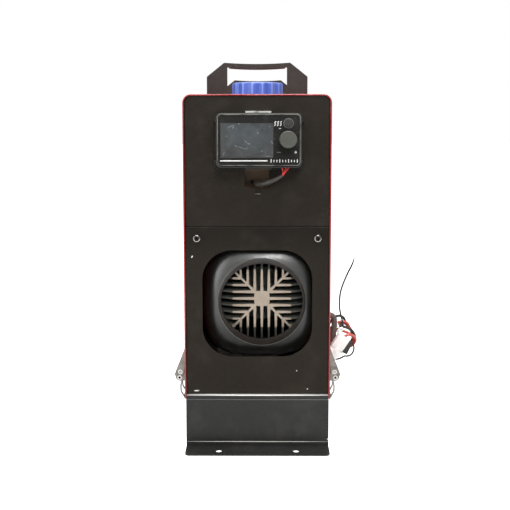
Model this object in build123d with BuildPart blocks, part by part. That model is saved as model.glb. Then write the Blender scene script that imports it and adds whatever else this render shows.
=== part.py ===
from build123d import *
import math
import os

os.makedirs("parts", exist_ok=True)

# ---------------------------------------------------------------- dimensions, mm
# +X right, +Y back, +Z up; the origin is on the floor, at the centre of the four base holes.

# case
case_w, case_d, case_top, shell_bottom = 146.0, 334.0, 355.5, 51.0
sheet, shell_r = 1.5, 8.5
front_y = -case_d / 2
panel_y = front_y + 1.5  # front face of the inset panels
panel_lip = 10.0
seam_z, panel_gap = 225.2, 0.6
panel_half = case_w / 2 - sheet - 0.2
panel_bottom = 55.5
outlet_w, outlet_h, outlet_r, outlet_z = 109.5, 108.0, 30.0, 147.5
screw_x, screw_z = 60.0, 213.5
slot_x0, slot_x1, slot_z0, slot_z1 = -12.3, 11.7, 263.8, 290.0
notch_x0, notch_x1, notch_z0 = -1.8, 4.2, 257.2

# base
base_w, base_h, flange, flange_t = 143.6, 50.0, 18.0, 1.5
hole_r, hole_x, hole_y = 3.25, 38.5, 177.0
skirt_z = 15.0

# carrying handles
handle_y = 20.0  # behind the front
handle_w, handle_flat, handle_top, handle_cham_z = 100.7, 65.9, 387.4, 373.5
grip_w, grip_z, handle_t, flap, foot = 59.6, 382.7, 2.0, 16.0, 18.0
handle_sag = 1.3

# filler and cap
cap_x, cap_y, cap_r, cap_top, cap_skirt = 0.0, -17.0, 30.5, 375.6, 358.2
neck_r, neck_bore, neck_top = 20.0, 16.5, 368.0
flutes = 16

# controller
con_x, con_z, con_w, con_h, con_front = 1.7, 311.0, 80.8, 51.4, -192.0
back_w, back_h, back_z, back_front, back_rear = 87.3, 55.0, 309.4, -172.0, -167.0
lcd_x0, lcd_x1, lcd_z0, lcd_z1 = -34.6, 15.3, 294.8, 327.5
knob_x, knob_z, knob_r, knob_front = 29.0, 312.2, 8.2, -205.0
ok_x, ok_z, ok_r = 29.6, 327.3, 3.9
knob_travel, ok_travel = 0.5, 0.6

# heater unit: its long axis is a little right of the case's middle
hx, hz = 4.6, 148.0
heat_w, heat_h, heat_r, heat_wall = 114.0, 116.0, 30.0, 2.5
ring_r, ring_bore, ring_front = 45.0, 41.5, -163.0
exch_front, exch_flat, exch_half, exch_back = -147.0, 29.7, 46.0, 20.0
fin_pitch_x, fin_pitch_z, fin_tip, fin_root, fin_diag = 7.2, 7.0, 1.8, 3.2, 2.2
exch_lip, exch_lip_half = 5.5, 42.5
fan_r, blower_r, shaft_r = 47.0, 24.0, 4.0
exhaust_x, exhaust_y, exhaust_r = -20.0, 10.0, 12.0
intake_x, intake_y, intake_r = -20.0, 70.0, 12.5
pipe_end, spigot_top, pipe_step = 16.0, 46.0, 0.4

# toggle latches: u is measured outward from the side of the case, v along Y from the latch's middle
latch_y = 127.0
side_x = case_w / 2
piv_u, piv_z = 8.5, 61.9
pin_u, pin_z = 7.7, 67.6
wire_r = 0.9
leg_v, ear_v0, ear_v1, cheek_v0, cheek_v1 = 8.0, 9.3, 10.3, 10.7, 11.7

# supply lead at the right side
lead_y, lead_z, sheath_r = -67.0, 108.0, 3.3
coil_u, coil_y, coil_z, coil_r, coil_a, coil_b = 24.3, -61.0, 83.0, 13.8, 3.6, 6.0


def at_y(y):
    """A sketch plane facing the front, at depth y: its axes are X and Z."""
    return Plane(origin=(0, y, 0), x_dir=(1, 0, 0), z_dir=(0, -1, 0))


def at_x(x):
    """A sketch plane facing the right side, at x: its axes are Y and Z."""
    return Plane(origin=(x, 0, 0), x_dir=(0, 1, 0), z_dir=(1, 0, 0))


def route_radii(points):
    """The arc at each corner of a route, as large as its two runs allow."""
    p = [Vector(*q) for q in points]
    radii = []
    for a, b, c in zip(p, p[1:], p[2:]):
        turn = math.radians((b - a).get_angle(c - b))
        radii.append(0.45 * min((b - a).length, (c - b).length) / math.tan(turn / 2))
    return radii


def tube(name, points, r, radii=None):
    """A round cord, wire or pipe along a route of straight runs and tangent arcs."""
    radii = radii or route_radii(points)
    with BuildPart() as p:
        with BuildLine() as path:
            FilletPolyline(*points, radius=radii)
        with BuildSketch(Plane(origin=path.line @ 0, z_dir=path.line % 0)):
            Circle(r)
        sweep()
    length = sum(edge.length for edge in path.line.edges())
    print(
        name,
        "length",
        round(length, 1),
        "radii",
        [round(x, 1) for x in radii],
        "volume ratio",
        round(p.part.volume / (math.pi * r * r * length), 4),
    )
    return p


def save(part, name):
    part.label = name
    export_step(part, f"parts/{name}.step")


# ---------------------------------------------------------------- base
with BuildPart() as base_tray:
    with BuildSketch(at_x(-base_w / 2)):
        with BuildLine():
            d, f = case_d / 2, case_d / 2 + flange
            Polyline(
                (-f, 0), (-d + flange_t, 0), (-d + flange_t, base_h - flange_t),
                (d - flange_t, base_h - flange_t), (d - flange_t, 0), (f, 0),
                (f, flange_t), (d, flange_t), (d, base_h), (-d, base_h),
                (-d, flange_t), (-f, flange_t), close=True,
            )
        make_face()
    extrude(amount=base_w)
    # side skirts, folded down from the top
    with BuildSketch(Plane.XY.offset(skirt_z)):
        with Locations((-base_w / 2 + flange_t / 2, 0), (base_w / 2 - flange_t / 2, 0)):
            Rectangle(flange_t, case_d - 2 * flange_t)
    extrude(amount=base_h - flange_t - skirt_z)
    top_bends = base_tray.edges().filter_by(Axis.X).filter_by_position(
        Axis.Z, base_h - 0.1, base_h + 0.1
    )
    fillet(top_bends, 1.2)
    corners = base_tray.edges().filter_by(Axis.Z).filter_by(
        lambda e: abs(abs(e.center().Y) - case_d / 2 - flange) < 0.1
    )
    fillet(corners, 4.0)
    # mounting holes in the flanges
    with BuildSketch(Plane.XY.offset(-1)):
        with GridLocations(2 * hole_x, 2 * hole_y, 2, 2):
            Circle(hole_r)
    extrude(amount=4, mode=Mode.SUBTRACT)
    # clearance for the two pipes
    with BuildSketch(Plane.XY.offset(base_h - 3)):
        with Locations((exhaust_x, exhaust_y)):
            Circle(exhaust_r + 3)
        with Locations((intake_x, intake_y)):
            Circle(intake_r + 2)
    extrude(amount=6, mode=Mode.SUBTRACT)
save(base_tray.part, "base_tray")

# bottom pan of the case: its front and back edges are folded down on the base
with BuildPart() as case_floor:
    pan_top, pan_y = 54.2, case_d / 2 - 0.6
    with BuildSketch(at_x(-panel_half)):
        with BuildLine():
            Polyline(
                (-pan_y, base_h), (-pan_y + sheet, base_h), (-pan_y + sheet, pan_top - sheet),
                (pan_y - sheet, pan_top - sheet), (pan_y - sheet, base_h), (pan_y, base_h),
                (pan_y, pan_top), (-pan_y, pan_top), close=True,
            )
        make_face()
    extrude(amount=2 * panel_half)
    fillet(
        case_floor.edges().filter_by(Axis.X).filter_by_position(
            Axis.Z, pan_top - 0.05, pan_top + 0.05
        ),
        1.3,
    )
    with BuildSketch(Plane.XY.offset(pan_top - 3)):
        with Locations((exhaust_x, exhaust_y)):
            Circle(exhaust_r + 3)
        with Locations((intake_x, intake_y)):
            Circle(intake_r + 2)
    extrude(amount=6, mode=Mode.SUBTRACT)
save(case_floor.part, "case_floor")

# ---------------------------------------------------------------- shell and panels
shell_h = case_top - shell_bottom
foot_y = [front_y + handle_y + 11, -front_y - handle_y - 11]
foot_screws = [
    (s * x, y) for y in foot_y for s in (-1, 1) for x in (35.0, 45.4)
]
gland_bore = 6.2
with BuildPart() as outer_shell:
    with BuildSketch(at_y(front_y)):
        with Locations((0, case_top - shell_h / 2 - 20)):
            RectangleRounded(case_w, shell_h + 40, shell_r)
        with Locations((0, case_top - sheet - shell_h / 2 - 20)):
            RectangleRounded(case_w - 2 * sheet, shell_h + 40, shell_r - sheet, mode=Mode.SUBTRACT)
        with Locations((0, shell_bottom - 50)):
            Rectangle(case_w + 10, 100, mode=Mode.SUBTRACT)
    extrude(amount=-case_d)
    for end in (0, -1):
        rim = outer_shell.faces().sort_by(Axis.Y)[end].edges()
        fillet(rim.filter_by(lambda e: e.center().Z > shell_bottom + 1), 0.55)
    with BuildSketch(Plane.XY.offset(case_top - 5)):
        with Locations((cap_x, cap_y)):
            Circle(24.0)
        with Locations(*foot_screws):
            Circle(2.2)
    extrude(amount=10, mode=Mode.SUBTRACT)
    with BuildSketch(at_x(side_x - 5)):
        with Locations((lead_y, lead_z)):
            Circle(gland_bore)
    extrude(amount=10, mode=Mode.SUBTRACT)
save(outer_shell.part, "outer_shell")

panel_top = case_top - sheet - 0.2
with BuildPart() as front_upper_panel:
    z0, z1, r = seam_z + panel_gap / 2, panel_top, shell_r - sheet - 0.2
    with BuildSketch(at_y(panel_y)):
        with Locations((0, (z0 + z1) / 2)):
            Rectangle(2 * panel_half, z1 - z0)
        fillet(vertices().group_by(Axis.Y)[-1], r)
    extrude(amount=-panel_lip)
    with BuildSketch(at_y(panel_y + sheet)):
        with Locations((0, (z0 + z1) / 2)):
            Rectangle(2 * panel_half - 2 * sheet, z1 - z0 - 2 * sheet)
        fillet(vertices().group_by(Axis.Y)[-1], r - sheet)
    extrude(amount=-panel_lip, mode=Mode.SUBTRACT)
    fillet(
        front_upper_panel.faces().sort_by(Axis.Y)[0].edges(), 0.7
    )
    # cable slot behind the controller, with a narrow notch below it
    with BuildSketch(at_y(panel_y - 5)):
        with Locations(((slot_x0 + slot_x1) / 2, (slot_z0 + slot_z1) / 2)):
            Rectangle(slot_x1 - slot_x0, slot_z1 - slot_z0)
        with Locations(((notch_x0 + notch_x1) / 2, (notch_z0 + slot_z0) / 2)):
            Rectangle(notch_x1 - notch_x0, slot_z0 - notch_z0)
    extrude(amount=-10, mode=Mode.SUBTRACT)
save(front_upper_panel.part, "front_upper_panel")

with BuildPart() as front_lower_panel:
    z0, z1 = panel_bottom, seam_z - panel_gap / 2
    with BuildSketch(at_y(panel_y)):
        with Locations((0, (z0 + z1) / 2)):
            Rectangle(2 * panel_half, z1 - z0)
    extrude(amount=-panel_lip)
    with BuildSketch(at_y(panel_y + sheet)):
        with Locations((0, (z0 + z1) / 2)):
            Rectangle(2 * panel_half - 2 * sheet, z1 - z0 - 2 * sheet)
    extrude(amount=-panel_lip, mode=Mode.SUBTRACT)
    fillet(front_lower_panel.faces().sort_by(Axis.Y)[0].edges(), 0.7)
    with BuildSketch(at_y(panel_y - 5)):
        with Locations((0, outlet_z)):
            RectangleRounded(outlet_w, outlet_h, outlet_r)
        with Locations((-screw_x, screw_z), (screw_x, screw_z)):
            Circle(2.2)
    extrude(amount=-10, mode=Mode.SUBTRACT)
save(front_lower_panel.part, "front_lower_panel")

rear_screws = [(-screw_x, 72.0), (screw_x, 72.0), (-screw_x, 340.0), (screw_x, 340.0)]
inlet_open = 46.0
with BuildPart() as rear_panel:
    z0, z1, r = panel_bottom, panel_top, shell_r - sheet - 0.2
    with BuildSketch(at_y(-panel_y)):
        with Locations((0, (z0 + z1) / 2)):
            Rectangle(2 * panel_half, z1 - z0)
        fillet(vertices().group_by(Axis.Y)[-1], r)
    extrude(amount=panel_lip)
    with BuildSketch(at_y(-panel_y - sheet)):
        with Locations((0, (z0 + z1) / 2)):
            Rectangle(2 * panel_half - 2 * sheet, z1 - z0 - 2 * sheet)
        fillet(vertices().group_by(Axis.Y)[-1], r - sheet)
    extrude(amount=panel_lip, mode=Mode.SUBTRACT)
    fillet(rear_panel.faces().sort_by(Axis.Y)[-1].edges(), 0.7)
    with BuildSketch(at_y(-panel_y + 5)):
        with Locations((hx, hz)):
            Circle(inlet_open)
        with Locations(*rear_screws):
            Circle(2.2)
        # cooling slots of the tank room
        with Locations((0, 275)):
            with GridLocations(0, 9, 1, 5):
                SlotOverall(70, 4)
    extrude(amount=10, mode=Mode.SUBTRACT)
save(rear_panel.part, "rear_panel")

# shelf between the tank room and the heater room, with its sides folded down
hose_x, hose_y = 66.8, 100.0
with BuildPart() as tank_shelf:
    with BuildSketch(Plane.XY.offset(226.0)):
        Rectangle(2 * panel_half, 302)
    extrude(amount=sheet)
    with BuildSketch(Plane.XY.offset(214.0)):
        with Locations((-panel_half + sheet / 2, 0), (panel_half - sheet / 2, 0)):
            Rectangle(sheet, 302)
    extrude(amount=12)
    with BuildSketch(Plane.XY.offset(225)):
        with Locations((hose_x, hose_y)):
            Circle(2.9)
    extrude(amount=4, mode=Mode.SUBTRACT)
save(tank_shelf.part, "tank_shelf")


# ---------------------------------------------------------------- handles
def handle(y_face, back):
    """A folded sheet portal: y_face is its outer face, back is +1 or -1, the way its flap and feet fold."""
    with BuildPart() as p:
        with BuildSketch(at_y(y_face)):
            with BuildLine():
                w, t = handle_w / 2, handle_flat / 2
                Polyline((t, handle_top), (w, handle_cham_z), (w, case_top), (-w, case_top),
                         (-w, handle_cham_z), (-t, handle_top))
                ThreePointArc((-t, handle_top), (0, handle_top - handle_sag), (t, handle_top))
            make_face()
            with BuildLine(mode=Mode.PRIVATE) as gap:
                g = grip_w / 2
                Polyline((g, grip_z), (g, case_top - 5), (-g, case_top - 5), (-g, grip_z))
                ThreePointArc((-g, grip_z), (0, grip_z - handle_sag), (g, grip_z))
            make_face(gap.edges(), mode=Mode.SUBTRACT)
        extrude(amount=-back * handle_t)
        # the flap folded back along the grip
        with BuildSketch(at_y(y_face + back * handle_t)):
            with BuildLine():
                g = grip_w / 2
                ThreePointArc((-g, grip_z), (0, grip_z - handle_sag), (g, grip_z))
                Line((g, grip_z), (g, grip_z + 1.7))
                ThreePointArc((g, grip_z + 1.7), (0, grip_z + 1.7 - handle_sag), (-g, grip_z + 1.7))
                Line((-g, grip_z + 1.7), (-g, grip_z))
            make_face()
            with Locations((0, grip_z)):
                Rectangle(grip_w - 3, 20, mode=Mode.INTERSECT)
        extrude(amount=-back * (flap - handle_t))
        # the feet, folded back on the case
        leg = (handle_w - grip_w) / 2
        with BuildSketch(Plane.XY.offset(case_top)):
            with Locations(
                (-(handle_w - leg) / 2, y_face + back * foot / 2),
                ((handle_w - leg) / 2, y_face + back * foot / 2),
            ):
                Rectangle(leg, foot)
        extrude(amount=handle_t)
        with BuildSketch(Plane.XY.offset(case_top - 1)):
            with Locations(*[(x, y_face + back * 11) for x in (-45.4, -35.0, 35.0, 45.4)]):
                Circle(2.2)
        extrude(amount=handle_t + 2, mode=Mode.SUBTRACT)
        outer = p.edges().filter_by(Axis.Y).filter_by(
            lambda e: abs(abs(e.center().X) - handle_w / 2) < 0.1 and abs(e.center().Z - handle_cham_z) < 0.1
        )
        fillet(outer, 1.5)
        tops = p.edges().filter_by(Axis.Y).filter_by(
            lambda e: abs(abs(e.center().X) - handle_flat / 2) < 0.1 and abs(e.center().Z - handle_top) < 0.1
        )
        fillet(tops, 2.0)
        bends = p.edges().filter_by(Axis.X).filter_by(
            lambda e: abs(e.center().Y - y_face) < 0.05 and abs(e.center().Z - case_top) < 0.05
        )
        fillet(bends, 1.2)
    return p


front_handle = handle(front_y + handle_y, 1)
save(front_handle.part, "front_handle")
rear_handle = handle(-front_y - handle_y, -1)
save(rear_handle.part, "rear_handle")

# button-head screws of the panels and the handles
with BuildPart() as case_screws:
    head_h, head_r, shank_r = 2.2, 3.75, 2.0
    for face, out, spots in (
        (panel_y, 1, [(-screw_x, screw_z), (screw_x, screw_z)]),
        (-panel_y, -1, rear_screws),
    ):
        with BuildSketch(at_y(face)):
            with Locations(*spots):
                Circle(head_r)
        extrude(amount=out * head_h)
        with BuildSketch(at_y(face)):
            with Locations(*spots):
                Circle(shank_r)
        extrude(amount=-out * 8)
        with BuildSketch(at_y(face - out * (head_h - 1.3))):
            with Locations(*spots):
                RegularPolygon(1.6, 6)
        extrude(amount=out * 3, mode=Mode.SUBTRACT)
    with BuildSketch(Plane.XY.offset(case_top + handle_t)):
        with Locations(*foot_screws):
            Circle(3.6)
    extrude(amount=head_h)
    with BuildSketch(Plane.XY.offset(case_top + handle_t)):
        with Locations(*foot_screws):
            Circle(shank_r)
    extrude(amount=-10)
    with BuildSketch(Plane.XY.offset(case_top + handle_t + head_h - 1.3)):
        with Locations(*foot_screws):
            RegularPolygon(1.6, 6)
    extrude(amount=3, mode=Mode.SUBTRACT)
    head_rims = case_screws.edges().filter_by(GeomType.CIRCLE).filter_by(
        lambda e: e.radius > 3.5 and (
            abs(e.center().Y - (panel_y - head_h)) < 0.05
            or abs(e.center().Y - (-panel_y + head_h)) < 0.05
            or abs(e.center().Z - (case_top + handle_t + head_h)) < 0.05
        )
    )
    fillet(head_rims, 1.2)
save(case_screws.part, "case_screws")

# ---------------------------------------------------------------- fuel tank, filler and cap
tank_x, tank_y0, tank_y1, tank_z0, tank_z1 = 62.0, -145.5, 145.0, 227.5, 345.0
with BuildPart() as fuel_tank:
    mid = (tank_y0 + tank_y1) / 2
    with BuildSketch(Plane.XY.offset(tank_z0)):
        with Locations((0, mid)):
            RectangleRounded(2 * tank_x, tank_y1 - tank_y0, 14)
    extrude(amount=tank_z1 - tank_z0)
    with BuildSketch(Plane.XY.offset(tank_z1 - 1)):
        with Locations((cap_x, cap_y)):
            Circle(neck_r)
    extrude(amount=neck_top - tank_z1 + 1)
    with BuildSketch(Plane.XY.offset(tank_z0 + 3)):
        with Locations((0, mid)):
            RectangleRounded(2 * tank_x - 6, tank_y1 - tank_y0 - 6, 11)
    extrude(amount=tank_z1 - tank_z0 - 6, mode=Mode.SUBTRACT)
    with BuildSketch(Plane.XY.offset(tank_z1 - 10)):
        with Locations((cap_x, cap_y)):
            Circle(neck_bore)
    extrude(amount=60, mode=Mode.SUBTRACT)
    # hose nipple on top
    with BuildSketch(Plane.XY.offset(tank_z1 - 1)):
        with Locations((50, hose_y)):
            Circle(4.0)
    extrude(amount=2.2)
save(fuel_tank.part, "fuel_tank")

with BuildPart() as filler_grommet:
    with BuildSketch(Plane(origin=(cap_x, cap_y, 0), x_dir=(1, 0, 0), z_dir=(0, -1, 0))):
        with BuildLine():
            a, b, c = neck_r + 0.1, 23.9, 26.8
            s0, s1 = case_top - sheet, case_top
            Polyline((a, s0 - 1.6), (c, s0 - 1.6), (c, s0), (b, s0), (b, s1), (c, s1),
                     (c, s1 + 1.5), (a, s1 + 1.5), close=True)
        make_face()
    revolve(axis=Axis((cap_x, cap_y, 0), (0, 0, 1)))
save(filler_grommet.part, "filler_grommet")

with BuildPart() as cap_seal:
    with BuildSketch(Plane.XY.offset(neck_top + 0.2)):
        with Locations((cap_x, cap_y)):
            Circle(neck_r + 0.8)
            Circle(neck_bore - 1.0, mode=Mode.SUBTRACT)
    extrude(amount=2.6)
save(cap_seal.part, "cap_seal")

with BuildPart() as fuel_cap:
    with BuildSketch(Plane(origin=(cap_x, cap_y, 0), x_dir=(1, 0, 0), z_dir=(0, -1, 0))):
        with BuildLine():
            Polyline(
                (0, neck_top + 3.0), (neck_r + 1.5, neck_top + 3.0), (neck_r + 1.5, cap_skirt),
                (cap_r, cap_skirt), (cap_r, cap_top - 2.6), (cap_r - 0.8, cap_top - 0.8),
                (cap_r - 2.6, cap_top), (20.0, cap_top), (18.8, cap_top - 0.9), (0, cap_top - 0.9),
                close=True,
            )
        make_face()
    revolve(axis=Axis((cap_x, cap_y, 0), (0, 0, 1)))
    with BuildSketch(Plane.XY.offset(cap_skirt - 1)):
        with Locations((cap_x, cap_y)):
            with PolarLocations(cap_r + 3.0, flutes):
                Circle(4.3)
    extrude(amount=30, mode=Mode.SUBTRACT)
save(fuel_cap.part, "fuel_cap")

# ---------------------------------------------------------------- fuel line and pump
pump_x, pump_z, pump_r = 48.0, 70.5, 12.0
tank_hose = tube(
    "tank_hose",
    [(50, hose_y, tank_z1 + 1.2), (50, hose_y, tank_z1 + 5.0), (hose_x, hose_y, tank_z1 + 5.0),
     (hose_x, hose_y, pump_z), (pump_x, hose_y, pump_z), (pump_x, 66.0, pump_z)],
    2.2, [2.6, 2.6, 8.0, 8.0],
)
save(tank_hose.part, "tank_hose")
with BuildPart() as fuel_pump:
    for y0, y1, r in ((-45, 45, pump_r), (-58, -45, 7.0), (45, 58, 7.0), (-66, -58, 2.6), (58, 66, 2.6)):
        with BuildSketch(at_y(y0)):
            with Locations((pump_x, pump_z)):
                Circle(r)
        extrude(amount=-(y1 - y0))
    with BuildSketch(Plane.XY.offset(54.2)):
        with Locations((pump_x, -30), (pump_x, 30)):
            Rectangle(16, 12)
    extrude(amount=8)
save(fuel_pump.part, "fuel_pump")
pump_hose = tube(
    "pump_hose",
    [(pump_x, -66, pump_z), (pump_x, -95, pump_z), (20, -95, pump_z), (20, -95, 90.0)],
    2.2, [8.0, 8.0],
)
save(pump_hose.part, "pump_hose")

# ---------------------------------------------------------------- heater unit
casing_front, casing_rear = -140.0, 146.0
for name, low, high in (
    ("heater_lower_casing", hz - heat_h / 2, hz - 0.1),
    ("heater_upper_casing", hz + 0.1, hz + heat_h / 2),
):
    with BuildPart() as casing:
        with BuildSketch(at_y(casing_front)):
            with Locations((hx, hz)):
                RectangleRounded(heat_w, heat_h, heat_r)
                RectangleRounded(heat_w - 2 * heat_wall, heat_h - 2 * heat_wall, heat_r - heat_wall, mode=Mode.SUBTRACT)
            with Locations((hx, (low + high) / 2)):
                Rectangle(heat_w + 10, high - low, mode=Mode.INTERSECT)
        extrude(amount=-(casing_rear - casing_front))
        if name == "heater_lower_casing":
            with BuildSketch(Plane.XY.offset(low - 1)):
                with Locations((exhaust_x, exhaust_y)):
                    Circle(exhaust_r + pipe_step + 0.3)
                with Locations((intake_x, intake_y)):
                    Circle(intake_r + pipe_step + 0.3)
            extrude(amount=8, mode=Mode.SUBTRACT)
    save(casing.part, name)

# shroud: rises from the casing to the round outlet ring
with BuildPart() as outlet_shroud:
    with BuildSketch(at_y(casing_front - 0.1)):
        with Locations((hx, hz)):
            RectangleRounded(heat_w + 10, heat_h + 8, 40)
    with BuildSketch(at_y(-155.0)):
        with Locations((hx, hz)):
            RectangleRounded(103, 103, 48)
    with BuildSketch(at_y(-159.0)):
        with Locations((hx, hz)):
            RectangleRounded(94, 94, 46.5)
    loft(ruled=True)
    with BuildSketch(at_y(-158.9)):
        with Locations((hx, hz)):
            Circle(ring_r)
    extrude(amount=-158.9 - ring_front)
    with BuildSketch(at_y(casing_front - 0.1)):
        with Locations((hx, hz)):
            RectangleRounded(heat_w + 4, heat_h + 2, 37)
    with BuildSketch(at_y(-156.0)):
        with Locations((hx, hz)):
            RectangleRounded(2 * ring_bore + 2, 2 * ring_bore + 2, ring_bore + 0.9)
    loft(ruled=True, mode=Mode.SUBTRACT)
    with BuildSketch(at_y(-154.0)):
        with Locations((hx, hz)):
            Circle(ring_bore)
    extrude(amount=12, mode=Mode.SUBTRACT)
save(outlet_shroud.part, "outlet_shroud")

# heat exchanger: a cast block, with a star of fins at its front
with BuildPart() as heat_exchanger:
    with BuildSketch(at_y(exch_front)):
        with Locations((hx, hz)):
            Rectangle(15.6, 15.6)
            with Locations(Location((0, 0, 0), (0, 0, 45))):
                Rectangle(17.6, 17.6, mode=Mode.INTERSECT)
                Rectangle(2 * 1.41 * exch_half, fin_diag)
                Rectangle(fin_diag, 2 * 1.41 * exch_half)
                Rectangle(32.0, fin_diag + 0.6)
                Rectangle(fin_diag + 0.6, 32.0)
        for k, turn in [(k, turn) for k in range(-6, 7) for turn in (0, 90, 180, 270)]:
            a = k * (fin_pitch_z if turn in (0, 180) else fin_pitch_x)
            inner = max(6.5, abs(a) + 1.0)
            half = exch_half + 0.2
            if abs(a) < exch_half - 2:
                c, s = round(math.cos(math.radians(turn))), round(math.sin(math.radians(turn)))
                # each fin tapers outward, all by the same slope from the hub
                root = fin_root - (fin_root - fin_tip) * min(1.0, (inner - 6.5) / (exch_flat + 4 - 6.5))
                pts = [(inner, a - root / 2), (exch_flat + 4, a - fin_tip / 2), (half, a - fin_tip / 2),
                       (half, a + fin_tip / 2), (exch_flat + 4, a + fin_tip / 2), (inner, a + root / 2)]
                if inner > exch_flat:
                    pts = [(inner, a - fin_tip / 2), (half, a - fin_tip / 2), (half, a + fin_tip / 2), (inner, a + fin_tip / 2)]
                with BuildLine():
                    Polyline(*[(hx + x * c - z * s, hz + x * s + z * c) for x, z in pts], close=True)
                make_face()
    extrude(amount=-(exch_back - exch_front))
    with BuildSketch(at_y(exch_front + 24)):
        with Locations((hx, hz)):
            Circle(28.0)
    extrude(amount=-(exch_back - exch_front - 24))
    with BuildSketch(at_y(exch_front + 30)):
        with Locations((hx, hz)):
            Circle(23.0)
    extrude(amount=-(exch_back - exch_front), mode=Mode.SUBTRACT)
    # the fins' fronts slope back outside the flat square, gently at first
    with BuildSketch(at_y(exch_front)):
        with Locations((hx, hz)):
            Rectangle(2 * exch_flat, 2 * exch_flat)
    with BuildSketch(at_y(exch_front + exch_lip)):
        with Locations((hx, hz)):
            Rectangle(2 * exch_lip_half, 2 * exch_lip_half)
    with BuildSketch(at_y(exch_front + 30)):
        with Locations((hx, hz)):
            Rectangle(2 * exch_half, 2 * exch_half)
    with BuildSketch(at_y(exch_back)):
        with Locations((hx, hz)):
            Rectangle(2 * exch_half, 2 * exch_half)
    loft(ruled=True, mode=Mode.INTERSECT)
save(heat_exchanger.part, "heat_exchanger")

with BuildPart() as burner_tube:
    with BuildSketch(at_y(-80)):
        with Locations((hx, hz)):
            Circle(19.5)
            Circle(18.0, mode=Mode.SUBTRACT)
    extrude(amount=-(20 + 80))
    with BuildSketch(at_y(16)):
        with Locations((hx, hz)):
            Circle(22.7)
            Circle(18.0, mode=Mode.SUBTRACT)
    extrude(amount=-4)
save(burner_tube.part, "burner_tube")

# blower housing: a cast plate with the combustion blower's room in it
with BuildPart() as blower_housing:
    with BuildSketch(at_y(20.3)):
        with Locations((hx, hz)):
            Circle(46.0)
    extrude(amount=-25)
    with BuildSketch(at_y(30.0)):
        with Locations((hx, hz)):
            Circle(blower_r + 3)
    extrude(amount=-12, mode=Mode.SUBTRACT)
    with BuildSketch(at_y(41.0)):
        with Locations((hx, hz)):
            Circle(shaft_r + 1.0)
    extrude(amount=-6, mode=Mode.SUBTRACT)
    with BuildSketch(at_y(20.0)):
        with Locations((hx, hz)):
            Circle(6.0)
    extrude(amount=-12, mode=Mode.SUBTRACT)
    with BuildSketch(at_y(20.0)):
        with Locations((hx, hz + 13.0)):
            Circle(2.6)
    extrude(amount=-6, mode=Mode.SUBTRACT)
save(blower_housing.part, "blower_housing")

with BuildPart() as glow_plug:
    with BuildSketch(at_y(-20.0)):
        with Locations((hx, hz + 13.0)):
            Circle(2.4)
    extrude(amount=-45)
save(glow_plug.part, "glow_plug")

with BuildPart() as fan_motor:
    with BuildSketch(at_y(45.5)):
        with Locations((hx, hz)):
            Circle(22.0)
            Circle(shaft_r + 0.5, mode=Mode.SUBTRACT)
    extrude(amount=-55)
    with BuildSketch(at_y(70.0)):
        with Locations((hx, hz)):
            Circle(53.0)
            Circle(50.0, mode=Mode.SUBTRACT)
            with PolarLocations(36.0, 3, start_angle=90):
                Rectangle(31.0, 4.0)
    extrude(amount=-6)
save(fan_motor.part, "fan_motor")

with BuildPart() as fan_shaft:
    with BuildSketch(at_y(31.5)):
        with Locations((hx, hz)):
            Circle(shaft_r)
    extrude(amount=-102.5)
save(fan_shaft.part, "fan_shaft")

with BuildPart() as blower_wheel:
    with BuildSketch(at_y(38.0)):
        with Locations((hx, hz)):
            Circle(blower_r)
            Circle(shaft_r, mode=Mode.SUBTRACT)
    extrude(amount=-1.6)
    with BuildSketch(at_y(38.0)):
        with Locations((hx, hz)):
            Circle(7.0)
            Circle(shaft_r, mode=Mode.SUBTRACT)
            with PolarLocations(16.0, 12):
                Rectangle(14.5, 1.2)
    extrude(amount=6)
save(blower_wheel.part, "blower_wheel")

with BuildPart() as fan_wheel:
    with BuildSketch(at_y(112.0)):
        with Locations((hx, hz)):
            Circle(17.0)
            Circle(shaft_r, mode=Mode.SUBTRACT)
    extrude(amount=-22)
    with Locations(Location((hx, 123.0, hz), (90, 0, 0))):
        with PolarLocations(31.0, 9):
            Box(31.0, 18.0, 1.6, rotation=(38, 0, 0))
    with BuildSketch(at_y(111.0)):
        with Locations((hx, hz)):
            Circle(fan_r + 20)
            Circle(fan_r, mode=Mode.SUBTRACT)
    extrude(amount=-26, mode=Mode.SUBTRACT)
    with BuildSketch(at_y(105.0)):
        with Locations((hx, hz)):
            Circle(shaft_r)
    extrude(amount=-40, mode=Mode.SUBTRACT)
save(fan_wheel.part, "fan_wheel")

with BuildPart() as heater_ecu:
    with BuildSketch(at_y(80.0)):
        with Locations((hx, hz + 40.5)):
            RectangleRounded(50, 20, 3)
    extrude(amount=-29)
save(heater_ecu.part, "heater_ecu")

# inlet grille at the back: rings held by spokes
with BuildPart() as inlet_grille:
    with BuildSketch(at_y(146.2)):
        with Locations((hx, hz)):
            Circle(52.0)
            Circle(43.0, mode=Mode.SUBTRACT)
            for r in (36.0, 28.0, 20.0):
                Circle(r)
                Circle(r - 2.2, mode=Mode.SUBTRACT)
            Circle(12.0)
            for k in range(4):
                with Locations(Location((0, 0, 0), (0, 0, 45 * k))):
                    Rectangle(90, 2.4)
    extrude(amount=-6)
save(inlet_grille.part, "inlet_grille")

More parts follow.
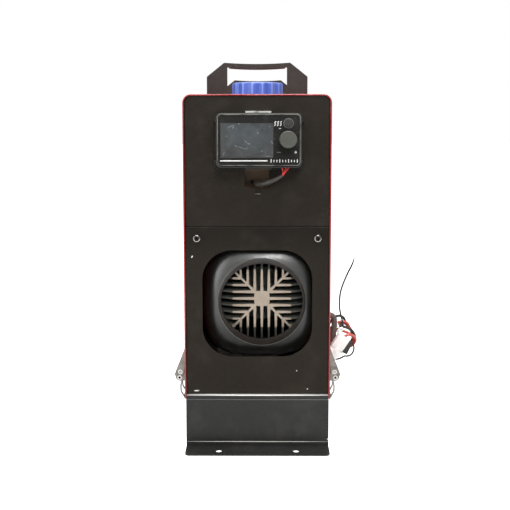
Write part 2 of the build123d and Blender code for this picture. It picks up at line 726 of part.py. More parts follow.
# hat-shaped bracket that carries the heater over the pump
with BuildPart() as heater_bracket:
    with BuildSketch(at_x(-46)):
        with BuildLine():
            b0, b1, t0, t1, low = -62.0, 112.0, 88.3, 89.9, 54.2
            Polyline((b0 - 12, low), (b0 + 1.6, low), (b0 + 1.6, t0), (b1 - 1.6, t0), (b1 - 1.6, low),
                     (b1 + 12, low), (b1 + 12, low + 1.6), (b1, low + 1.6), (b1, t1), (b0, t1),
                     (b0, low + 1.6), (b0 - 12, low + 1.6), close=True)
        make_face()
    extrude(amount=74)
    with BuildSketch(Plane.XY.offset(86)):
        with Locations((exhaust_x, exhaust_y)):
            Circle(exhaust_r + 1.5)
        with Locations((intake_x, intake_y)):
            Circle(intake_r + 1.5)
    extrude(amount=6, mode=Mode.SUBTRACT)
save(heater_bracket.part, "heater_bracket")

# pipes of the heater: the hose goes on the lower end, up to a step
for name, x, y, r in (
    ("exhaust_pipe", exhaust_x, exhaust_y, exhaust_r),
    ("intake_pipe", intake_x, intake_y, intake_r),
):
    with BuildPart() as pipe:
        with BuildSketch(Plane.XY.offset(pipe_end)):
            with Locations((x, y)):
                Circle(r)
        extrude(amount=94.0 - pipe_end)
        with BuildSketch(Plane.XY.offset(spigot_top)):
            with Locations((x, y)):
                Circle(r + pipe_step)
        extrude(amount=94.0 - spigot_top)
        with BuildSketch(Plane.XY.offset(pipe_end - 1)):
            with Locations((x, y)):
                Circle(r - 1.5)
        extrude(amount=96.0 - pipe_end, mode=Mode.SUBTRACT)
    save(pipe.part, name)

# ---------------------------------------------------------------- controller
with BuildPart() as controller_bracket:
    bx, bw = 1.2, 24.6
    with BuildSketch(at_y(panel_y)):
        with Locations((bx, (283.2 + 338.8) / 2)):
            Rectangle(bw, 338.8 - 283.2)
        with Locations((bx, 298), (bx, 324)):
            Circle(2.2, mode=Mode.SUBTRACT)
    extrude(amount=1.4)
    for z in (283.2, 337.3):
        with BuildSketch(Plane.XY.offset(z)):
            with Locations((bx, (panel_y - 186.0) / 2)):
                Rectangle(bw, 186.0 + panel_y)
        extrude(amount=1.5)
save(controller_bracket.part, "controller_bracket")

inner_w, inner_h = con_w - 3.6, con_h - 3.6
with BuildPart() as controller_back:
    with BuildSketch(at_y(back_rear)):
        with Locations((con_x, back_z)):
            RectangleRounded(back_w, back_h, 5)
    extrude(amount=back_rear - back_front)
    # the plate shows at its corners only: its sides are cut in between them
    with BuildSketch(at_y(back_rear + 1)):
        with Locations(*[(con_x + s * (back_w / 2 + 1.0), 309.2) for s in (-1, 1)]):
            RectangleRounded(10.2, 36.6, 2.0)
    extrude(amount=10, mode=Mode.SUBTRACT)
    fillet(controller_back.faces().sort_by(Axis.Y)[0].edges(), 1.2)
    with BuildSketch(at_y(back_front + 1)):
        with Locations((con_x, con_z)):
            RectangleRounded(con_w, con_h, 5)
    extrude(amount=9)
    with BuildSketch(at_y(-170.0)):
        with Locations((con_x, con_z)):
            RectangleRounded(inner_w, inner_h, 3.2)
    extrude(amount=20, mode=Mode.SUBTRACT)
    # room for the bracket's lower arm
    with BuildSketch(at_y(back_rear + 1)):
        with Locations((bx, 281.0)):
            Rectangle(bw + 0.8, 8.2)
    extrude(amount=7, mode=Mode.SUBTRACT)
save(controller_back.part, "controller_back")

con_split, face_y = -180.2, con_front + 0.8
with BuildPart() as controller_front:
    with BuildSketch(at_y(con_split)):
        with Locations((con_x, con_z)):
            RectangleRounded(con_w, con_h, 5)
    extrude(amount=con_split - con_front)
    fillet(controller_front.faces().sort_by(Axis.Y)[0].edges(), 1.1)
    # the face lies below a raised rim
    with BuildSketch(at_y(con_front - 1)):
        with Locations((con_x, con_z)):
            RectangleRounded(con_w - 4.2, con_h - 4.2, 3.0)
    extrude(amount=-(1 + face_y - con_front), mode=Mode.SUBTRACT)
    with BuildSketch(at_y(face_y + 2.0)):
        with Locations((con_x, con_z)):
            RectangleRounded(inner_w, inner_h, 3.2)
    extrude(amount=-20, mode=Mode.SUBTRACT)
    with BuildSketch(at_y(con_front - 1)):
        with Locations(((lcd_x0 + lcd_x1) / 2, (lcd_z0 + lcd_z1) / 2)):
            Rectangle(lcd_x1 - lcd_x0, lcd_z1 - lcd_z0)
        with Locations((knob_x, knob_z)):
            Circle(3.6)
        with Locations((ok_x, ok_z)):
            Circle(ok_r + 0.25)
    extrude(amount=-8, mode=Mode.SUBTRACT)
save(controller_front.part, "controller_front")

with BuildPart() as display_window:
    with BuildSketch(at_y(face_y + 1.9)):
        with Locations(((lcd_x0 + lcd_x1) / 2, (lcd_z0 + lcd_z1) / 2)):
            Rectangle(lcd_x1 - lcd_x0 - 0.1, lcd_z1 - lcd_z0 - 0.1)
    extrude(amount=1.75)
save(display_window.part, "display_window")

with BuildPart() as controller_board:
    with BuildSketch(at_y(-182.4)):
        with Locations((con_x, con_z)):
            RectangleRounded(inner_w - 1.0, inner_h - 1.0, 3.0)
    extrude(amount=1.6)
    with BuildSketch(at_y(-184.0)):
        with Locations((knob_x, knob_z)):
            Rectangle(12, 12)
            Circle(3.08, mode=Mode.SUBTRACT)
    extrude(amount=4.6)
    with BuildSketch(at_y(-184.0)):
        with Locations((ok_x, ok_z)):
            Rectangle(6, 6)
    extrude(amount=3.1)
    with BuildSketch(at_y(-184.0)):
        with Locations(((lcd_x0 + lcd_x1) / 2, (lcd_z0 + lcd_z1) / 2)):
            Rectangle(46, 28)
    extrude(amount=4.0)
save(controller_board.part, "controller_board")

with BuildPart() as encoder_shaft:
    with BuildSketch(at_y(-185.1)):
        with Locations((knob_x, knob_z)):
            Circle(3.0)
    extrude(amount=203.0 - 185.1)
save(encoder_shaft.part, "encoder_shaft")

with BuildPart() as control_knob:
    with BuildSketch(at_y(-192.6)):
        with Locations((knob_x, knob_z)):
            Circle(knob_r)
            with PolarLocations(knob_r + 0.35, 36):
                Circle(0.6, mode=Mode.SUBTRACT)
    extrude(amount=-192.6 - knob_front)
    with BuildSketch(at_y(-192.6)):
        with Locations((knob_x, knob_z)):
            Circle(3.05)
    extrude(amount=10.6, mode=Mode.SUBTRACT)
    with BuildSketch(at_y(-205.2)):
        with Locations((knob_x, knob_z)):
            Circle(knob_r + 3)
            Circle(knob_r - 0.35, mode=Mode.SUBTRACT)
    extrude(amount=-1.4, mode=Mode.SUBTRACT)
    chamfer(
        control_knob.faces().sort_by(Axis.Y)[0].edges(), 0.5
    )
save(control_knob.part, "control_knob")

with BuildPart() as ok_button:
    with BuildSketch(at_y(-188.0)):
        with Locations((ok_x, ok_z)):
            Circle(ok_r)
    extrude(amount=4.2)
    with BuildSketch(at_y(-188.0)):
        with Locations((ok_x, ok_z)):
            Circle(ok_r + 0.9)
    extrude(amount=1.0)
    fillet(ok_button.faces().sort_by(Axis.Y)[0].edges(), 0.5)
save(ok_button.part, "ok_button")

# lead of the controller: down from its underside, then across into the slot of the panel
lead_points = [
    (27.6, -176.0, 285.3), (27.4, -176.2, 280.8), (24.8, -177.0, 277.0), (18.8, -177.6, 273.6), (11.6, -176.4, 270.4),
    (5.6, -172.2, 268.2), (0.6, -165.4, 267.4), (-2.8, -157.0, 267.4), (-5.0, -148.6, 268.4),
]
controller_lead = tube("controller_lead", lead_points, 2.5)
save(controller_lead.part, "controller_lead")


# ---------------------------------------------------------------- toggle latches
def uz(side, points):
    """Points given as (u, z) from the side of the case, for a sketch that faces the front."""
    return [(side * (side_x + u), z) for u, z in points]


latches = {
    "right_front": (1, -latch_y), "left_front": (-1, -latch_y),
    "right_rear": (1, latch_y), "left_rear": (-1, latch_y),
}

with BuildPart() as latch_brackets:
    for side, y in latches.values():
        with BuildSketch(at_y(y - ear_v1)):
            with BuildLine():
                Polyline(*uz(side, [(0, 56), (1.2, 56), (1.2, 90), (0, 90)]), close=True)
            make_face()
        extrude(amount=-2 * ear_v1)
        for v in (-ear_v1, ear_v0):
            with BuildSketch(at_y(y + v)):
                with BuildLine():
                    Polyline(*uz(side, [(0.5, piv_z - 4.2), (piv_u, piv_z - 4.2), (piv_u, piv_z + 4.2), (0.5, piv_z + 4.2)]), close=True)
                make_face()
                with Locations(uz(side, [(piv_u, piv_z)])[0]):
                    Circle(4.2)
                    Circle(1.6, mode=Mode.SUBTRACT)
            extrude(amount=-(ear_v1 - ear_v0))
save(latch_brackets.part, "latch_brackets")

with BuildPart() as latch_rivets:
    for side, y in latches.values():
        # pivot rivets, one through each cheek and ear
        for s in (-1, 1):
            with BuildSketch(at_y(y + s * ear_v0)):
                with Locations(uz(side, [(piv_u, piv_z)])[0]):
                    Circle(1.6)
            extrude(amount=-s * 2.6)
            with BuildSketch(at_y(y + s * (cheek_v1 + 0.15))):
                with Locations(uz(side, [(piv_u, piv_z)])[0]):
                    Circle(2.6)
            extrude(amount=-s * 0.9)
        # rivets of the bracket
        with BuildSketch(at_x(side * (side_x + 1.2))):
            with Locations((y - 5, 74), (y + 5, 74), (y, 84)):
                Circle(2.2)
        extrude(amount=side * 0.9)
        # rivets of the catch
        with BuildSketch(at_x(side * (side_x + 0.2))):
            with Locations((y - 5, 24), (y + 5, 24)):
                Circle(2.2)
        extrude(amount=side * 0.9)
save(latch_rivets.part, "latch_rivets")

with BuildPart() as latch_catches:
    for side, y in latches.values():
        with BuildSketch(at_y(y - 9.5)):
            with BuildLine():
                Polyline(*uz(side, [(-1.2, 16), (0.2, 16), (0.2, 39.8), (-1.2, 39.8)]), close=True)
            make_face()
        extrude(amount=-19)
        with BuildSketch(at_y(y - 6.5)):
            with BuildLine():
                Polyline(*uz(side, [(0, 38.6), (5.0, 38.6), (5.0, 39.8), (0, 39.8)]), close=True)
            make_face()
        extrude(amount=-13)
save(latch_catches.part, "latch_catches")

lever_top, lever_low = (1.0, 95.0), (13.2, 64.5)
along = math.hypot(lever_low[0] - lever_top[0], lever_low[1] - lever_top[1])
du, dz = (lever_low[0] - lever_top[0]) / along, (lever_low[1] - lever_top[1]) / along
nu, nz = -dz, du  # outward normal of the lever's plate


def strip(a, b, inner, outer):
    """A strip of sheet between two stations of the lever's plate, seen from its edge."""
    pa = (lever_top[0] + du * a, lever_top[1] + dz * a)
    pb = (lever_top[0] + du * b, lever_top[1] + dz * b)
    return [
        (pa[0] + nu * inner, pa[1] + nz * inner), (pb[0] + nu * inner, pb[1] + nz * inner),
        (pb[0] + nu * outer, pb[1] + nz * outer), (pa[0] + nu * outer, pa[1] + nz * outer),
    ]


for name, (side, y) in latches.items():
    with BuildPart() as lever:
        full = along - 14.0
        for half, pts in (
            (cheek_v1, strip(0, full, -0.6, 0.6)),
            (6.3, strip(full - 1, along, -0.6, 0.6)),
            (2.6, [(lever_low[0] - 0.7, lever_low[1] + 0.3), (lever_low[0] + 0.5, lever_low[1] + 0.4), (15.2, 60.4), (14.1, 60.1)]),
        ):
            with BuildSketch(at_y(y - half)):
                with BuildLine():
                    Polyline(*uz(side, pts), close=True)
                make_face()
            extrude(amount=-2 * half)
        for v in (-cheek_v1, cheek_v0):
            with BuildSketch(at_y(y + v)):
                with BuildLine():
                    Polyline(*uz(side, [(1.7, 94.4), (13.0, 66.0), (12.6, 61.2), (10.6, 58.6), (8.0, 57.9),
                                        (5.6, 59.0), (4.3, 61.6), (4.2, 67.0), (3.2, 75.0), (1.1, 91.0)]), close=True)
                make_face()
                with Locations(uz(side, [(piv_u, piv_z)])[0]):
                    Circle(1.66, mode=Mode.SUBTRACT)
                with Locations(uz(side, [(pin_u, pin_z)])[0]):
                    Circle(wire_r + 0.07, mode=Mode.SUBTRACT)
            extrude(amount=-(cheek_v1 - cheek_v0))
    save(lever.part, f"latch_lever_{name}")

    bail_uz = [(pin_u, pin_z), (6.4, 58.8), (7.9, 51.4), (7.6, 45.6), (3.0, 37.4)]
    near = [(side * (side_x + u), y - leg_v, z) for u, z in bail_uz]
    far = [(side * (side_x + u), y + leg_v, z) for u, z in reversed(bail_uz)]
    pts = (
        [(side * (side_x + pin_u), y - 12.3, pin_z)] + near + far
        + [(side * (side_x + pin_u), y + 12.3, pin_z)]
    )
    bend = [1.6, 9.0, 9.0, 5.0, 1.7]
    bail = tube(f"latch_bail_{name}", pts, wire_r, bend + bend[::-1])
    save(bail.part, f"latch_bail_{name}")

# ---------------------------------------------------------------- supply lead at the right side
with BuildPart() as lead_gland:
    with BuildSketch(Plane(origin=(0, lead_y, lead_z), x_dir=(1, 0, 0), z_dir=(0, -1, 0))):
        with BuildLine():
            x0 = side_x
            Polyline(
                (x0 - sheet - 3.0, sheath_r), (x0 + 9.0, sheath_r), (x0 + 9.0, 4.8), (x0 + 7.5, 6.2),
                (x0 + 2.2, 7.0), (x0 + 2.2, 8.8), (x0, 8.8), (x0, 6.1), (x0 - sheet, 6.1),
                (x0 - sheet, 8.4), (x0 - sheet - 3.0, 8.4), close=True,
            )
        make_face()
    revolve(axis=Axis((0, lead_y, lead_z), (1, 0, 0)))
save(lead_gland.part, "lead_gland")

sheath_points = [
    (side_x - 9.0, lead_y, lead_z), (side_x + 8.0, lead_y, lead_z), (side_x + 15.6, lead_y - 0.6, lead_z - 0.6),
    (side_x + 15.2, lead_y - 2.8, lead_z - 9.5), (side_x + 13.8, lead_y - 3.6, lead_z - 18.0),
    (side_x + 13.4, lead_y - 3.6, lead_z - 25.0), (side_x + 13.4, lead_y - 3.6, lead_z - 31.0),
]
lead_sheath = tube("lead_sheath", sheath_points, sheath_r)
save(lead_sheath.part, "lead_sheath")

# the small coil of red and black wire, as one closed ring
with BuildPart() as wire_coil:
    with BuildSketch(Plane(origin=(side_x + coil_u, coil_y, coil_z), x_dir=(1, 0, 0), z_dir=(0, 0, 1))):
        with Locations((coil_r, 0)):
            Ellipse(coil_a, coil_b)
    revolve(axis=Axis((side_x + coil_u, coil_y, coil_z), (0, 1, 0)))
save(wire_coil.part, "wire_coil")

# white two-part connector and black fuse holder, hung in front of the coil
with BuildPart() as white_connector:
    with BuildSketch(Plane(origin=(side_x + 16.9, lead_y - 7.1, 74.0), x_dir=(0.542, 0, 0.840), z_dir=(0, -1, 0))):
        RectangleRounded(31.2, 14.0, 1.0)
    extrude(amount=8.6)
save(white_connector.part, "white_connector")
with BuildPart() as fuse_holder:
    with BuildSketch(Plane(origin=(side_x + 28.2, lead_y - 0.2, 72.2), x_dir=(0.4345, 0, 0.9007), z_dir=(0, -1, 0))):
        RectangleRounded(15.8, 6.4, 1.2)
    extrude(amount=6.6)
save(fuse_holder.part, "fuse_holder")

with BuildPart() as cable_tie:
    ta = math.radians(113)
    tx, tz = side_x + coil_u + coil_r * math.cos(ta), coil_z + coil_r * math.sin(ta)
    with BuildSketch(Plane(origin=(tx, coil_y, tz), x_dir=(math.cos(ta), 0, math.sin(ta)), z_dir=(-math.sin(ta), 0, math.cos(ta)))):
        Ellipse(coil_a + 1.2, coil_b + 1.2)
        Ellipse(coil_a, coil_b, mode=Mode.SUBTRACT)
    extrude(amount=1.7, both=True)
save(cable_tie.part, "cable_tie")

# thin wire that stands up beside the case, with a bare tip
wire_points = [
    (side_x + 24.0, lead_y - 1.6, 93.0), (side_x + 23.6, lead_y - 1.2, 99.4), (side_x + 22.0, lead_y - 0.6, 107.2),
    (side_x + 20.8, lead_y + 1.0, 116.6), (side_x + 20.8, lead_y + 0.4, 127.4), (side_x + 22.6, lead_y + 0.8, 137.8),
    (side_x + 26.2, lead_y + 0.2, 147.8), (side_x + 30.8, lead_y + 0.6, 158.2), (side_x + 35.6, lead_y, 167.4),
    (side_x + 37.2, lead_y, 174.2),
]
antenna_wire = tube("antenna_wire", wire_points, 0.85)
save(antenna_wire.part, "antenna_wire")
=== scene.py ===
import math

import bmesh
import bpy
from mathutils import Matrix, Vector


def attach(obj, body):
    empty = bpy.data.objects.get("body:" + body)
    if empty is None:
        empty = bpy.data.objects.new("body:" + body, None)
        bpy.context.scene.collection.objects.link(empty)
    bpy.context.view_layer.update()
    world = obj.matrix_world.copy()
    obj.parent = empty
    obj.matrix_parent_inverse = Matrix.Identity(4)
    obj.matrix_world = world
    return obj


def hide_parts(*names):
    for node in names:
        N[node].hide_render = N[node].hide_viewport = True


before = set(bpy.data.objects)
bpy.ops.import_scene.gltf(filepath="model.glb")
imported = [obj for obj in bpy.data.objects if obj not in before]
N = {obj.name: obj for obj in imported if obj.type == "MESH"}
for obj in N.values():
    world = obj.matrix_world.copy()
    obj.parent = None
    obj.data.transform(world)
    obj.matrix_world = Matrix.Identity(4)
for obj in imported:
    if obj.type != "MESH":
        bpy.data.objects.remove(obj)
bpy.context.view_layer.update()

scene = bpy.context.scene
MM = 0.001


# ------------------------------------------------------------------ camera
camera_data = bpy.data.cameras.new("camera")
camera = bpy.data.objects.new("camera", camera_data)
scene.collection.objects.link(camera)
scene.camera = camera
camera_data.sensor_fit = "HORIZONTAL"
camera_data.sensor_width = 36.0
camera_data.lens = 36.0 * 679.74 / 510
camera_data.shift_x = 0.0
camera_data.shift_y = -0.158
camera_data.dof.use_dof = False
camera_data.clip_start, camera_data.clip_end = 0.01, 60.0
pitch, yaw, roll = math.radians(4.476), math.radians(-0.355), math.radians(-0.067)
forward = Vector((math.sin(yaw) * math.cos(pitch), math.cos(yaw) * math.cos(pitch), -math.sin(pitch)))
right = Vector((math.cos(yaw), -math.sin(yaw), 0.0))
up = right.cross(forward)
right, up = math.cos(roll) * right + math.sin(roll) * up, math.cos(roll) * up - math.sin(roll) * right
camera.matrix_world = Matrix(
    (
        (right.x, up.x, -forward.x, 0.00199),
        (right.y, up.y, -forward.y, -0.83169),
        (right.z, up.z, -forward.z, 0.32918),
        (0, 0, 0, 1),
    )
)


# ------------------------------------------------------------------ material helpers
def srgb(r, g, b):
    """A colour given as 0 to 255 display values."""
    def one(v):
        v /= 255.0
        return v / 12.92 if v <= 0.04045 else ((v + 0.055) / 1.055) ** 2.4
    return (one(r), one(g), one(b), 1.0)


class Paint:
    """A principled material with a few shorthands for its texture nodes."""

    def __init__(self, name, **values):
        self.m = bpy.data.materials.new(name)
        self.m.use_nodes = True
        self.t = self.m.node_tree
        self.t.nodes.clear()
        out = self.t.nodes.new("ShaderNodeOutputMaterial")
        self.p = self.t.nodes.new("ShaderNodeBsdfPrincipled")
        self.t.links.new(self.p.outputs[0], out.inputs[0])
        coord = self.t.nodes.new("ShaderNodeTexCoord")
        self.here = coord.outputs["Object"]
        self._xyz = None
        self.values(**values)

    def values(self, **values):
        names = {
            "color": "Base Color", "metal": "Metallic", "rough": "Roughness", "ior": "IOR",
            "spec": "Specular IOR Level", "coat": "Coat Weight", "coat_rough": "Coat Roughness",
            "sheen": "Sheen Weight", "sheen_rough": "Sheen Roughness", "glass": "Transmission Weight",
            "soft": "Subsurface Weight", "soft_scale": "Subsurface Scale", "aniso": "Anisotropic",
        }
        for key, value in values.items():
            self.p.inputs[names[key]].default_value = value

    def join(self, source, name):
        self.t.links.new(source, self.p.inputs[name])

    def put(self, node, index, value):
        if hasattr(value, "is_output"):
            self.t.links.new(value, node.inputs[index])
        elif value is not None:
            node.inputs[index].default_value = value

    def axis(self, name):
        if self._xyz is None:
            self._xyz = self.t.nodes.new("ShaderNodeSeparateXYZ")
            self.t.links.new(self.here, self._xyz.inputs[0])
        return self._xyz.outputs["XYZ".index(name)]

    def scaled(self, sx, sy, sz, turn=(0, 0, 0), move=(0, 0, 0)):
        n = self.t.nodes.new("ShaderNodeMapping")
        self.t.links.new(self.here, n.inputs[0])
        n.inputs["Location"].default_value = move
        n.inputs["Rotation"].default_value = turn
        n.inputs["Scale"].default_value = (sx, sy, sz)
        return n.outputs[0]

    def noise(self, scale, detail=2.0, rough=0.5, vec=None, swirl=0.0):
        n = self.t.nodes.new("ShaderNodeTexNoise")
        self.t.links.new(vec or self.here, n.inputs["Vector"])
        n.inputs["Scale"].default_value = scale
        n.inputs["Detail"].default_value = detail
        n.inputs["Roughness"].default_value = rough
        n.inputs["Distortion"].default_value = swirl
        return n.outputs[0]

    def cells(self, scale, vec=None, feature="F1", randomness=1.0):
        n = self.t.nodes.new("ShaderNodeTexVoronoi")
        n.feature = feature
        self.t.links.new(vec or self.here, n.inputs["Vector"])
        n.inputs["Scale"].default_value = scale
        n.inputs["Randomness"].default_value = randomness
        return n

    def math(self, op, a, b=None, c=None, clamp=False):
        n = self.t.nodes.new("ShaderNodeMath")
        n.operation = op
        n.use_clamp = clamp
        self.put(n, 0, a)
        self.put(n, 1, b)
        self.put(n, 2, c)
        return n.outputs[0]

    def fit(self, value, a0, a1, b0=0.0, b1=1.0, smooth=False):
        n = self.t.nodes.new("ShaderNodeMapRange")
        n.interpolation_type = "SMOOTHSTEP" if smooth else "LINEAR"
        n.clamp = True
        self.put(n, 0, value)
        for i, v in enumerate((a0, a1, b0, b1)):
            n.inputs[1 + i].default_value = v
        return n.outputs[0]

    def mix(self, fac, a, b):
        n = self.t.nodes.new("ShaderNodeMix")
        n.data_type = "RGBA"
        n.clamp_factor = True
        self.put(n, 0, fac)
        self.put(n, 6, a)
        self.put(n, 7, b)
        return n.outputs[2]

    def most(self, *masks):
        out = masks[0]
        for m in masks[1:]:
            out = self.math("MAXIMUM", out, m)
        return out

    def specks(self, per_metre, radius, share, vec=None):
        """Small round dots: cells of 1/per_metre, a dot of radius (of a cell) in that share of the cells."""
        v = self.cells(per_metre, vec)
        near = self.fit(v.outputs["Distance"], radius * 0.6, radius, 1.0, 0.0)
        pick = self.t.nodes.new("ShaderNodeSeparateColor")
        self.t.links.new(v.outputs["Color"], pick.inputs[0])
        chosen = self.math("GREATER_THAN", pick.outputs[0], 1.0 - share)
        return self.math("MULTIPLY", near, chosen)

    def spot(self, x, z, a, b, turn=0.0, rag=0.25, soft=0.25):
        """An oval mark on a face that looks along Y: centre and half sizes in metres, turn in degrees, with a ragged edge."""
        c, s = math.cos(math.radians(turn)), math.sin(math.radians(turn))
        dx = self.math("SUBTRACT", self.axis("X"), x)
        dz = self.math("SUBTRACT", self.axis("Z"), z)
        u = self.math("ADD", self.math("MULTIPLY", dx, c / a), self.math("MULTIPLY", dz, s / a))
        v = self.math("ADD", self.math("MULTIPLY", dx, -s / b), self.math("MULTIPLY", dz, c / b))
        d = self.math("SQRT", self.math("ADD", self.math("MULTIPLY", u, u), self.math("MULTIPLY", v, v)))
        if rag:
            wobble = self.noise(1.4 / min(a, b), 2.0)
            d = self.math("ADD", d, self.math("MULTIPLY", self.math("SUBTRACT", wobble, 0.5), rag * 3))
        return self.fit(d, 1.0 - soft, 1.0 + soft, 1.0, 0.0)

    def bump(self, height, strength, distance, normal=None):
        n = self.t.nodes.new("ShaderNodeBump")
        n.inputs["Strength"].default_value = strength
        n.inputs["Distance"].default_value = distance
        self.t.links.new(height, n.inputs["Height"])
        if normal is not None:
            self.t.links.new(normal, n.inputs["Normal"])
        return n.outputs[0]


def coat_of_paint(name, low, high, rough, spec, grain, grain_strength, dust=0.35, dust_color=None, marks=(), mark_color=None, shade=None, **more):
    """A sprayed or powder-coated finish: cloudy colour, fine orange peel, a little dust, a few worn spots and painted
    highlight lines.
    shade is painted shade, darkening the colour towards a height: start, end and strength."""
    m = Paint(name, spec=spec, **more)
    cloud = m.noise(9.0, 4.0, 0.6)
    fine = m.noise(260.0, 3.0, 0.6)
    base = m.mix(m.fit(cloud, 0.32, 0.68), low, high)
    base = m.mix(m.fit(fine, 0.35, 0.7, 0.0, 0.28), base, tuple(c * 1.5 for c in high[:3]) + (1.0,))
    if shade:
        z0, z1, strength = shade
        # painted shade: the colour darkens towards the height z1
        below = m.math("LESS_THAN", m.axis("Z"), z1)
        painted_shade_amount = m.math("MULTIPLY", m.fit(m.axis("Z"), z0, z1, 0.0, strength, smooth=True), below)
        base = m.mix(painted_shade_amount, base, tuple(c * 0.35 for c in low[:3]) + (1.0,))
    dust_color = dust_color or srgb(150, 146, 138)
    speck = m.most(m.specks(42.0, 0.028, 0.16), m.specks(95.0, 0.04, 0.05))
    film = m.fit(m.noise(34.0, 6.0, 0.7), 0.52, 0.85, 0.0, dust * 0.12)
    base = m.mix(m.math("ADD", m.math("MULTIPLY", speck, dust), film, clamp=True), base, dust_color)
    r = m.math("ADD", m.fit(m.noise(55.0, 4.0), 0.3, 0.7, rough - 0.05, rough + 0.05), m.math("MULTIPLY", speck, 0.3), clamp=True)
    # the marks are worn spots and thin light lines; the lines are painted highlights on bent edges
    if marks:
        wear_and_highlight = m.most(*[m.spot(*k) for k in marks])
        base = m.mix(wear_and_highlight, base, mark_color or srgb(205, 203, 198))
        r = m.mix(wear_and_highlight, r, (0.5, 0.5, 0.5, 1.0))
    m.join(base, "Base Color")
    m.join(r, "Roughness")
    peel = m.bump(m.noise(grain, 2.0, 0.5), grain_strength, 0.0004)
    m.join(m.bump(m.noise(28.0, 2.0, 0.5), 0.03, 0.003, peel), "Normal")
    return m


# ------------------------------------------------------------------ materials
# the front panels: painted shade just below the seam, worn spots and one painted highlight line
panel_front = coat_of_paint(
    "panel_front_finish", srgb(26, 22, 17), srgb(33, 28, 22), 0.44, 0.13, 1500.0, 0.22, dust=0.5, dust_color=srgb(128, 118, 106), shade=(0.185, 0.2252, 0.5),
    marks=(
        (-0.0648, 0.1951, 0.0006, 0.0012, -28, 0.25, 0.3),
        (-0.0612, 0.0583, 0.0026, 0.0006, 3, 0.25, 0.3),
        (0.0395, 0.0790, 0.0005, 0.0005, 0, 0.2, 0.3),
        (0.0504, 0.0602, 0.0006, 0.0006, 0, 0.2, 0.3),
        # painted highlight: a thin light line at the bottom of the cable slot's notch
        (0.0006, 0.2576, 0.0030, 0.00016, 0, 0.2, 0.3),
    ),
)
panel_rear = coat_of_paint("panel_rear_finish", srgb(26, 22, 17), srgb(33, 28, 22), 0.44, 0.13, 1500.0, 0.22, dust=0.3, dust_color=srgb(128, 118, 106))
base_finish = coat_of_paint(
    "base_finish", srgb(22, 22, 21), srgb(30, 30, 28), 0.34, 0.34, 1100.0, 0.14, dust=0.45, coat=0.06, coat_rough=0.22,
    # marks: a worn spot, then painted highlights along the floor pan's front lip and along the base's flange bend
    marks=((0.0715, 0.0088, 0.0011, 0.0009, 20, 0.25, 0.3), (0.0007, 0.0542, 0.0712, 0.0008, 0, 0.2, 0.35), (0.0005, 0.0060, 0.0705, 0.0003, 0, 0.2, 0.3)),
)
shell_finish = coat_of_paint(
    "shell_finish", srgb(122, 13, 16), srgb(142, 18, 20), 0.24, 0.5, 900.0, 0.08, dust=0.2, dust_color=srgb(214, 160, 152),
    coat=0.8, coat_rough=0.08,
)
handle_finish = coat_of_paint(
    "handle_finish", srgb(34, 28, 26), srgb(45, 38, 35), 0.52, 0.22, 2100.0, 0.45, dust=0.35,
)


def sheet_zinc(name, low=srgb(128, 126, 122), high=srgb(168, 166, 161), shade_below=None):
    """Zinc-plated sheet: faint spangle, stains and fine scratches; the last argument paints shade below a height, in a
    darker colour.
    """
    m = Paint(name, metal=0.92, rough=0.34, spec=0.5)
    v = m.cells(160.0)
    pick = m.t.nodes.new("ShaderNodeSeparateColor")
    m.t.links.new(v.outputs["Color"], pick.inputs[0])
    flake = pick.outputs[0]
    stain = m.noise(45.0, 5.0, 0.65)
    base = m.mix(flake, low, high)
    base = m.mix(m.fit(stain, 0.5, 0.8, 0.0, 0.45), base, srgb(128, 120, 110))
    # painted shade: below the height the zinc takes the darker colour given
    if shade_below:
        height, shade = shade_below
        base = m.mix(m.fit(m.axis("Z"), height - 0.001, height + 0.001, 1.0, 0.0), base, shade)
    m.join(base, "Base Color")
    m.join(m.fit(m.math("ADD", flake, stain), 0.3, 1.5, 0.24, 0.46), "Roughness")
    scratch = m.noise(60.0, 3.0, 0.6, m.scaled(1.0, 1.0, 9.0, (0.3, 0.2, 0.1)))
    m.join(m.bump(scratch, 0.1, 0.0005, m.bump(flake, 0.05, 0.0003)), "Normal")
    return m


def turned_steel(name, low, high, rough):
    m = Paint(name, metal=1.0, spec=0.5)
    streak = m.noise(90.0, 4.0, 0.6, m.scaled(3.0, 3.0, 0.4))
    stain = m.noise(22.0, 5.0, 0.6)
    base = m.mix(m.fit(streak, 0.35, 0.65), low, high)
    base = m.mix(m.fit(stain, 0.55, 0.85, 0.0, 0.4), base, srgb(120, 104, 92))
    m.join(base, "Base Color")
    m.join(m.fit(streak, 0.3, 0.7, rough - 0.06, rough + 0.1), "Roughness")
    m.join(m.bump(streak, 0.12, 0.0003), "Normal")
    return m


def cast_metal(name):
    """Sand-cast aluminium: warm grey and grainy, darker away from its machined front, where the colour is painted
    shade.
    """
    m = Paint(name, metal=0.55, rough=0.5, spec=0.5)
    grain = m.noise(900.0, 3.0, 0.6)
    blotch = m.noise(38.0, 5.0, 0.6)
    base = m.mix(m.fit(blotch, 0.3, 0.7), srgb(164, 150, 134), srgb(184, 171, 155))
    base = m.mix(m.fit(grain, 0.3, 0.75, 0.0, 0.4), base, srgb(150, 138, 124))
    # painted shade: behind the machined front the fins' sloped sides turn dark grey
    depth = m.fit(m.axis("Y"), -0.14695, -0.1466, 0.0, 1.0)
    base = m.mix(m.math("MULTIPLY", depth, 0.92), base, srgb(92, 97, 92))
    m.join(base, "Base Color")
    m.join(m.fit(m.math("ADD", grain, depth), 0.2, 1.6, 0.42, 0.7), "Roughness")
    m.join(m.bump(grain, 0.35, 0.0005, m.bump(blotch, 0.15, 0.002)), "Normal")
    return m


